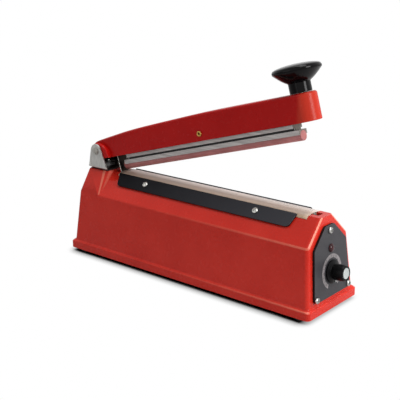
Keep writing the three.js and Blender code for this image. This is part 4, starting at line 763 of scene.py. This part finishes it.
make_bracket()
dress("bracket_gasket", "gasket_pad", from_cad("bracket_gasket"))
for node, name, width in (("hinge_pin", "pivot_pin", 0.3), ("pin_clip", "snap_ring", 0.15)):
    bm = from_cad(node)
    round_off(bm, outer_edges(bm, 60), width, 2)
    dress(node, name, bm, FINISH["zinc_steel"])
make_spring()

# Arm

def make_arm():
    """The arm casting, rounded along its top, its hinge boss and its lower rim."""
    half_width, boss_half, bore_clear, shortest = 12, 16.4, 4, 1.5
    top_from, top_above, nose_from, rim_depth, rim_from = 2, 9, 254.5, -9.1, 16
    bm = from_cad("arm_casting")

    def top_arris(m, e):
        p = in_arm(m)
        placed = p.x > top_from and p.z > top_above and e.calc_length() > shortest * MM
        return placed and (near(abs(p.y), half_width, 0.3) or p.x > nose_from)

    def boss_rim(m, e):
        p = in_arm(m)
        return near(abs(p.y), boss_half) and math.hypot(p.x, p.z) > bore_clear

    def lower_rim(m, e):
        p = in_arm(m)
        return near(p.z, rim_depth) and p.x > rim_from

    round_off(bm, outer_edges(bm, 50, top_arris), 2.2, 5, clamp=False)
    round_off(bm, outer_edges(bm, 40, boss_rim), 1.3, 4, clamp=False)
    round_off(bm, outer_edges(bm, 60, lower_rim), 0.6, 3, clamp=False)
    dress("arm_casting", "arm_body", bm, ARM_ENAMEL)


def make_press_knob():
    """Stem, bowl and domed crown, with a full rim, as it was pressed in its mould."""
    stem, rim, foot, screw_hole, hole_depth = 9.75, 21.6, 0.3, 2.2, 13.7
    stem_top, bowl_start, bowl_rise, bowl_curve = 9.0, 9.4, 9.1, 1.3
    crown_start, crown_rise, edge, steps = 21.35, 3.75, 0.4, 12
    points = [(screw_hole, foot), (stem - edge, foot), (stem, foot + edge), (stem, stem_top)]
    for i in range(1, steps + 1):
        share = i / steps
        points.append((stem + (rim - edge - stem) * share, bowl_start + bowl_rise * share ** bowl_curve))
    points += [(rim - 0.1, 18.9), (rim, 19.6), (rim, 20.3), (rim - 0.1, 20.9)]
    points += dome(rim - 0.5, crown_start, crown_rise, steps)
    hole = [(0, foot + hole_depth), (screw_hole, foot + hole_depth)]
    bm = revolve([(r, z + NOSE_TOP) for r, z in hole + points], 96)
    dress("press_knob", "knob_moulding", bm, place=ARM @ shift(KNOB_REACH, 0, 0), smooth=40, even=False)


def make_eyelet():
    """The pin that the rubber frame rocks on: a tubular brass rivet, its ends rolled over."""
    reach, drop = 140.8, -2.1
    end = [(1.1, 13.0), (1.4, 13.4), (2.1, 13.5), (2.6, 13.2), (2.75, 12.8), (2.6, 12.35), (2.0, 12.3)]
    other_end = [(r, -z) for r, z in end]
    bm = revolve([*other_end, *reversed(end), other_end[0]], 40)
    dress("frame_pin", "brass_eyelet", bm, place=ARM @ shift(reach, 0, drop) @ TO_Y, even=False)


def make_rubber_frame():
    """The extrusion, its long edges broken and its front end matt from the saw."""
    end_from = 236
    bm = from_cad("rubber_frame")
    round_off(bm, outer_edges(bm, 60, lambda m, e: e.calc_length() > 60 * MM), 0.4, 2)
    mark_faces(bm, 1.0, lambda m, n: in_arm(m).x > end_from and abs(n.y) < 0.97)
    dress("rubber_frame", "frame_extrusion", bm)


def make_groove_strips():
    """Black rubber strips in the grooves along both sides of the frame: a painted shade, standing for
    the dark of the grooves.
    """
    size, reach, half, drop = (208, 1.5, 1.84), 137.5, 4.85, -13.95
    bm = bmesh.new()
    for side, _ in SIDES:
        add_box(bm, size, shift(reach, side * half, drop))
    ends = [e for e in bm.edges if abs((e.verts[0].co - e.verts[1].co).normalized().y) > 0.9]
    round_off(bm, ends, 0.85, 5)
    show("groove_shade_strips", bm, FINISH["black_rubber"], "rod_frame", "black_rubber", place=ARM)


def make_rod():
    """The silicone rod, with softly rounded ends."""
    radius, start, end, drop, straight_steps = 4.65, 23.0, 247.3, -20.2, 8
    tip, soft, edge = radius - 0.55, radius - 0.15, 0.15
    first, last = start + 0.5, end - 0.5
    points = [(0, start), (tip, start), (soft, start + edge)]
    points += [(radius, first + (last - first) * i / straight_steps) for i in range(straight_steps + 1)]
    points += [(soft, end - edge), (tip, end), (0, end)]
    bm = revolve(points, 48)
    dress("silicone_rod", "rod_moulding", bm, place=ARM @ shift(0, 0, drop) @ TO_X, even=False)


make_arm()
bm = from_cad("actuator_blade")
round_off(bm, outer_edges(bm, 60), 0.25, 2)
dress("actuator_blade", "blade_strip", bm, BLADE_STEEL)
make_press_knob()
make_eyelet()
make_rubber_frame()
make_groove_strips()
make_rod()

# Heated strip

def make_cloth():
    """The cloth lies over the ribbon and the bar, and down each shoulder to the clamp strips."""
    lap, ribbon_half, bar_half, lift_half, lift_rise, steps = 3.2, 2.3, 4.8, 7.2, 0.22, 46
    middle = LAY_GAP + CLOTH_THICKNESS / 2
    slope_length = (BED_HEIGHT - SHOULDER_HEIGHT) / math.sin(SLOPE)
    bed_half = SHOULDER_HALF - (BED_HEIGHT - SHOULDER_HEIGHT) / math.tan(SLOPE)

    def on_slope(rise):
        return (
            SHOULDER_HALF - rise * math.cos(SLOPE) + middle * math.sin(SLOPE),
            SHOULDER_HEIGHT + rise * math.sin(SLOPE) + middle * math.cos(SLOPE),
        )

    half = [
        on_slope(slope_length - lap), on_slope(slope_length - lap / 2),
        (bed_half + middle * math.tan(SLOPE / 2), BED_HEIGHT + middle),
        (lift_half, BED_HEIGHT + middle + lift_rise),
        (bar_half + middle, BAR_HEIGHT + middle - LAY_GAP),
        (ribbon_half + middle / 2, RIBBON_HEIGHT + middle),
    ]
    across = half + [(-y, z) for y, z in reversed(half)]
    run = [0.0]
    for a, b in zip(across, across[1:]):
        run.append(run[-1] + math.dist(a, b))
    width, length = run[-1], CLOTH_END - CLOTH_START
    bm = bmesh.new()
    line = [bm.verts.new(at(CLOTH_START, y, z)) for y, z in across]
    edges = [bm.edges.new(pair) for pair in zip(line, line[1:])]
    for _ in range(steps):
        made = bmesh.ops.extrude_edge_only(bm, edges=edges)["geom"]
        moved = [g for g in made if isinstance(g, bmesh.types.BMVert)]
        edges = [g for g in made if isinstance(g, bmesh.types.BMEdge) and all(v in moved for v in g.verts)]
        bmesh.ops.translate(bm, verts=moved, vec=(length / steps * MM, 0, 0))
    uv = bm.loops.layers.uv.new("cloth")
    for face in bm.faces:
        for loop in face.loops:
            p = loop.vert.co
            nearest = min(range(len(across)), key=lambda i: abs(across[i][0] - p.y / MM))
            loop[uv].uv = (p.x, run[nearest] * MM)
    bmesh.ops.recalc_face_normals(bm, faces=bm.faces)
    if sum(f.normal.z for f in bm.faces) < 0:
        bmesh.ops.reverse_faces(bm, faces=bm.faces)
    cloth = dress("ptfe_cloth", "glass_cloth", bm, even=False, smooth=60)
    wall = cloth.modifiers.new("cloth_thickness", "SOLIDIFY")
    wall.thickness = CLOTH_THICKNESS * MM
    wall.offset = 0


make_cloth()
for side, name in SIDES:
    bm = from_cad(f"clamp_strip_{name}")
    round_off(bm, outer_edges(bm, 60), 0.45, 3)
    dress(f"clamp_strip_{name}", f"strip_sheet_{name}", bm, FAR_STRIP if name == "far" else None)

# Screws

def pan_screw(head, height, shank, length):
    """A pan-head screw whose seat is at height 0, with a cross recess cut in its crown. Head and shank
    are radii in mm."""
    crown_shares = ((1, 0), (1, 0.3), (0.96, 0.55), (0.84, 0.8), (0.6, 0.95), (0, 1))
    recess_share, arm_share, depth_share, place_share = 1.15, 0.27, 1.08, 1.05
    point_share, chamfer = 0.8, 0.3
    crown = [(head * r, height * z) for r, z in crown_shares]
    stem = [(0.0, -length), (shank * point_share, -length), (shank, -length + chamfer), (shank, 0.0)]
    blank = linked("screw_blank", mesh_from("screw_blank", revolve(stem + crown, 28)))
    tool = bmesh.new()
    for turn in (0, math.pi / 2):
        size = (head * recess_share, head * arm_share, height * depth_share)
        add_box(tool, size, Matrix.Rotation(turn, 4, "Z") @ shift(0, 0, height * place_share))
    cutter = linked("screw_recess", mesh_from("screw_recess", tool))
    carve = blank.modifiers.new("recess", "BOOLEAN")
    carve.object = cutter
    carve.operation = "DIFFERENCE"
    carve.use_self = True
    cut_mesh = evaluated_mesh(blank)
    for scrap in (blank, cutter):
        bpy.data.objects.remove(scrap)
    return cut_mesh


def screws(cut_mesh, places):
    """Puts a screw at each place, each at a turn of its own."""
    first_turn, next_turn = 23, 41
    for i, (node, place) in enumerate(places):
        bm = bmesh.new()
        bm.from_mesh(cut_mesh)
        turn = Matrix.Rotation(math.radians(first_turn + next_turn * i), 4, "Z")
        dress(node, node + "_head", bm, place=place @ turn, even=False, smooth=40)


def make_clamp_screws():
    rise, reaches = 23.4, ((1, 89.2), (2, 225.2))
    lift = CLOTH_THICKNESS + STRIP_THICKNESS + 3 * LAY_GAP
    screws(pan_screw(head=3.0, height=1.6, shank=1.4, length=6.2), [
        (f"clamp_screw_{name}_{i}", on_shoulder(side, x, rise, lift))
        for side, name in SIDES for i, x in reaches
    ])


def make_panel_screws():
    lift, places = PANEL_FACE + 0.3, ((0, 74.6), (-25.7, 18.5), (25.7, 18.5))
    screws(pan_screw(head=2.9, height=1.7, shank=1.5, length=7.0), [
        (f"panel_screw_{i}", on_panel(y, z, lift)) for i, (y, z) in enumerate(places, 1)
    ])


def make_base_screws():
    seat, corners = 2.6, [(x, y) for x in (14, 286) for y in (-29, 29)]
    screws(pan_screw(head=3.5, height=1.6, shank=1.6, length=18), [
        (f"base_screw_{i}", place_at(x, y, seat) @ DOWN) for i, (x, y) in enumerate(corners, 1)
    ])


def make_arm_screws():
    roof, blade_reach, blade_seat = 3.5, 25.2, 6.75
    screws(pan_screw(head=4.0, height=2.4, shank=2.0, length=16.9), [
        ("knob_screw", ARM @ shift(KNOB_REACH, 0, NOSE_TOP - roof) @ DOWN),
    ])
    screws(pan_screw(head=2.8, height=1.6, shank=1.5, length=3.4), [
        ("blade_screw", ARM @ shift(blade_reach, 0, blade_seat) @ DOWN),
    ])


make_clamp_screws()
make_panel_screws()
# Upright screws: head, height, shank and length, then the CAD node and the seat of each, all in mm
for sizes, seats in (
    ((2.8, 1.8, 1.6, 8.8), (("bracket_screw_1", 13.6, -8, 90.8), ("bracket_screw_2", 13.6, 8, 90.8))),
    ((1.5, 0.9, 0.9, 3.4), (
        ("terminal_screw_front", 280.7, 0, 84.6), ("terminal_screw_rear", 52.5, 0, 84.6),
    )),
    ((2.8, 1.8, 1.6, 2.8), (("strap_screw_1", 69, 0, 6.4), ("strap_screw_2", 136, 0, 6.4))),
):
    screws(pan_screw(*sizes), [(node, place_at(*seat)) for node, *seat in seats])
make_base_screws()
make_arm_screws()

# End panel, lamp and timer knob

def make_panel():
    """The laminated panel; its cut edges, which face away from the front, are painted black, a painted
    shade around its border.
    """
    bm = from_cad("end_panel")
    round_off(bm, outer_edges(bm, 60), 0.3, 2)
    # Painted shade: the faces turned away from the front get the near-black edge colour
    mark_faces(bm, 1.0, lambda m, n: n.x < 0.6)
    dress("end_panel", "panel_plate", bm)


def make_lamp():
    """A lens with a flat rim and a low dome, on a barrel that goes through the panel."""
    height, barrel, depth, rim, lens, lens_rise = 58.6, 2.8, 12, 3.85, 3.5, 1.7
    base = PANEL_FACE + 0.3
    points = [(0, base - depth), (barrel, base - depth), (barrel, base)]
    points += [(rim - 0.15, base), (rim, base + 0.15), (rim - 0.05, base + 0.4)]
    points += dome(lens, base + 0.5, lens_rise, 8)
    place = on_panel(0, height, 0)
    dress("indicator_lamp", "lamp_lens", revolve(points, 40), place=place, even=False, smooth=50)


def make_timer_knob():
    """Skirt, waist and smooth grip, hollow for its nut, with its white pointer and white cap."""
    low, top, cap_depth = PANEL_FACE + 0.6, PANEL_FACE + 14.55, 1.2
    shaft_hole, shaft_end, nut_hollow, nut_depth = 3.1, 14.9, 5.9, 5.8
    pointer_size, pointer_lift, pointer_drop, pointer_turn = (0.5, 1.3, 3.2), 1.62, -8.9, math.radians(13)
    floor = top - cap_depth
    points = [
        (0, shaft_end), (shaft_hole, shaft_end), (shaft_hole, nut_depth), (nut_hollow, nut_depth),
        (nut_hollow, low), (9.9, low), (10.4, low + 0.25), (10.5, low + 0.7), (10.3, low + 1.15),
        (9.8, low + 1.4), (7.7, low + 1.9), (6.9, low + 2.4), (6.7, low + 3.0), (6.9, low + 3.6),
        (7.3, low + 3.9), (7.4, low + 4.3), (6.95, floor), (6.8, top - 0.4), (6.45, top), (5.25, top),
        (5.1, top - 0.15), (5.1, floor), (0, floor),
    ]
    dress("timer_knob", "timer_grip", revolve(points, 72), place=PANEL @ TO_X, even=False, smooth=38)
    pointer = bmesh.new()
    add_box(pointer, pointer_size, shift(low + pointer_lift, 0, pointer_drop))
    round_off(pointer, pointer.edges, 0.12, 2)
    place = PANEL @ Matrix.Rotation(pointer_turn, 4, "X")
    show("timer_pointer", pointer, FINISH["white_cap"], "timer_dial", "white_cap", place=place)
    cap = [
        (0, floor + 0.05), (4.85, floor + 0.05), (4.9, floor + 0.1), (4.9, floor + 1.0), (4.7, floor + 1.2),
        (4.3, floor + 1.18), (3.6, floor + 0.95), (2.2, floor + 0.85), (0, floor + 0.82),
    ]
    dress("knob_cap", "white_cap_disc", revolve(cap, 48), place=PANEL @ TO_X, even=False, smooth=50)


def make_dial():
    """A printed band with ticks and numbers, from low on the near side clockwise round to the far side."""
    inner, outer, start, sweep, numbers = 12.3, 15.7, math.radians(30), math.radians(300), 9
    number_size, tick_size, tick_radius, ink = 2.7, (0.04, 0.55, 2.0), 13.3, 0.04
    band_lift, print_lift = PANEL_FACE + 0.06, PANEL_FACE + 0.09
    facing = Matrix(((0, 0, 1, 0), (1, 0, 0, 0), (0, 1, 0, 0), (0, 0, 0, 1)))

    def around(turn, radius):
        return Matrix.Rotation(-turn, 4, "X") @ shift(print_lift, 0, -radius)

    bm = bmesh.new()
    line = [bm.verts.new((0, 0, -r * MM)) for r in (inner, outer)]
    edge = bm.edges.new(line)
    bmesh.ops.rotate(bm, cent=(0, 0, 0), matrix=Matrix.Rotation(-start, 3, "X"), verts=line)
    bmesh.ops.spin(
        bm, geom=line + [edge], cent=(0, 0, 0), axis=(1, 0, 0), angle=-sweep, steps=90, use_merge=False,
        use_duplicate=False,
    )
    bmesh.ops.recalc_face_normals(bm, faces=bm.faces)
    bmesh.ops.solidify(bm, geom=bm.faces, thickness=ink * MM)
    place = PANEL @ shift(band_lift, 0, 0)
    show("dial_band", bm, DIAL_PRINT, "sealer_body", "grey_laminate", place=place, even=False)
    for i in range(1, numbers + 1):
        words = bpy.data.curves.new(f"number_{i}", "FONT")
        words.body = str(i)
        words.size = number_size * MM
        words.align_x = "CENTER"
        words.align_y = "CENTER"
        words.extrude = ink / 2 * MM
        letter = linked(words.name, words)
        bm = bmesh.new()
        bm.from_mesh(evaluated_mesh(letter))
        bpy.data.objects.remove(letter)
        spot = around(start + sweep * (i - 0.5) / numbers, (inner + outer) / 2)
        place = PANEL @ spot @ DOWN @ facing
        show(f"dial_number_{i}", bm, NUMBER_PRINT, "sealer_body", "grey_laminate", place=place, even=False)
    bm = bmesh.new()
    for i in range(numbers + 1):
        add_box(bm, tick_size, around(start + sweep * i / numbers, tick_radius))
    show("dial_ticks", bm, NUMBER_PRINT, "sealer_body", "grey_laminate", place=PANEL, even=False)


make_panel()
make_lamp()
make_timer_knob()
make_dial()

# Inner pieces and the rest

# CAD node, name of the piece, and how far its edges are rounded in mm
for node, name, width in (
    ("cord_grommet", "rubber_grommet", 0.6), ("terminal_front", "brass_block_front", 0.3),
    ("terminal_rear", "brass_block_rear", 0.3), ("micro_switch", "switch_case", 0.4),
    ("switch_bracket", "switch_plate", 0.2), ("transformer_strap", "strap_sheet", 0.2),
    ("timer_relay", "relay_case", 0.5), ("primary_coil", "primary_winding", 1.6),
    ("secondary_coil", "secondary_winding", 1.6), ("pot_nut", "hex_nut", 0.3),
    ("timer_pot", "pot_case", 0.3), ("insulation_bar", "fibre_bar", 0.1),
):
    bm = from_cad(node)
    round_off(bm, outer_edges(bm, 55), width, 3)
    dress(node, name, bm)

# Nodes whose CAD shape is already right keep it, in their own finish
for node in ("heating_ribbon", "timer_board", "transformer_core", "pot_shaft", "switch_plunger"):
    keep = frame["nodes"][node]
    keep.data.materials.clear()
    keep.data.materials.append(LAMINATIONS if node == "transformer_core" else FINISH[SLOT_OF[node]])

# Floor and surroundings

def white_paper():
    # White paper: even and matt. The camera sees it white, but dark in the gap under the object and
    # in its soft shadow close by.
    gap, lean, fade_start, fade_end = 13, Vector((0.5, 0.1, 0.86)), 133, 147
    material = bpy.data.materials.new("white_paper")
    material.use_nodes = True
    tree = material.node_tree
    tree.nodes.clear()
    paper = add(tree, "ShaderNodeBsdfDiffuse", {"Color": linear("#d2d2d2")})
    close = add(tree, "ShaderNodeAmbientOcclusion", {"Distance": gap * MM, "Normal": lean}, samples=24)
    shade = add(
        tree, RAMP, {"Fac": close.outputs["AO"]}, ((0.3, 0.0), (0.62, 0.55), (0.9, 1.0))
    ).outputs["Color"]
    # The key light reaches in under the front edge, so no shadow lies there
    place = add(tree, COORDINATES).outputs["Object"]
    shade = blend_along(tree, place, shade, fade_start, fade_end, "#ffffff")
    bright = add(tree, "ShaderNodeEmission", {"Color": shade, "Strength": 1.0}).outputs[0]
    seen = add(tree, "ShaderNodeLightPath").outputs["Is Camera Ray"]
    mixed = add(tree, "ShaderNodeMixShader", {0: seen, 1: paper.outputs[0], 2: bright})
    add(tree, "ShaderNodeOutputMaterial", {"Surface": mixed.outputs[0]})
    return material


def make_floor():
    half_size = 6000
    bm = bmesh.new()
    bmesh.ops.create_grid(bm, x_segments=1, y_segments=1, size=half_size * MM)
    floor = linked("floor", mesh_from("floor", bm))
    floor.data.materials.append(white_paper())


def make_world():
    """White where it is seen, mirrored or looked through, and dimmer as a light."""
    room_light = 0.28
    world = bpy.data.worlds.new("studio")
    scene.world = world
    world.use_nodes = True
    tree = world.node_tree
    tree.nodes.clear()
    path = add(tree, "ShaderNodeLightPath")
    seen = path.outputs["Is Camera Ray"]
    for ray in ("Is Transmission Ray", "Is Glossy Ray"):
        seen = add(tree, MATH, {0: seen, 1: path.outputs[ray]}, operation="MAXIMUM").outputs[0]
    room, white = (
        add(tree, "ShaderNodeBackground", {"Color": (1, 1, 1, 1), "Strength": light}).outputs[0]
        for light in (room_light, 1.0)
    )
    mixed = add(tree, "ShaderNodeMixShader", {0: seen, 1: room, 2: white})
    add(tree, "ShaderNodeOutputWorld", {"Surface": mixed.outputs[0]})


make_floor()
make_world()
scene.view_settings.view_transform = "Standard"
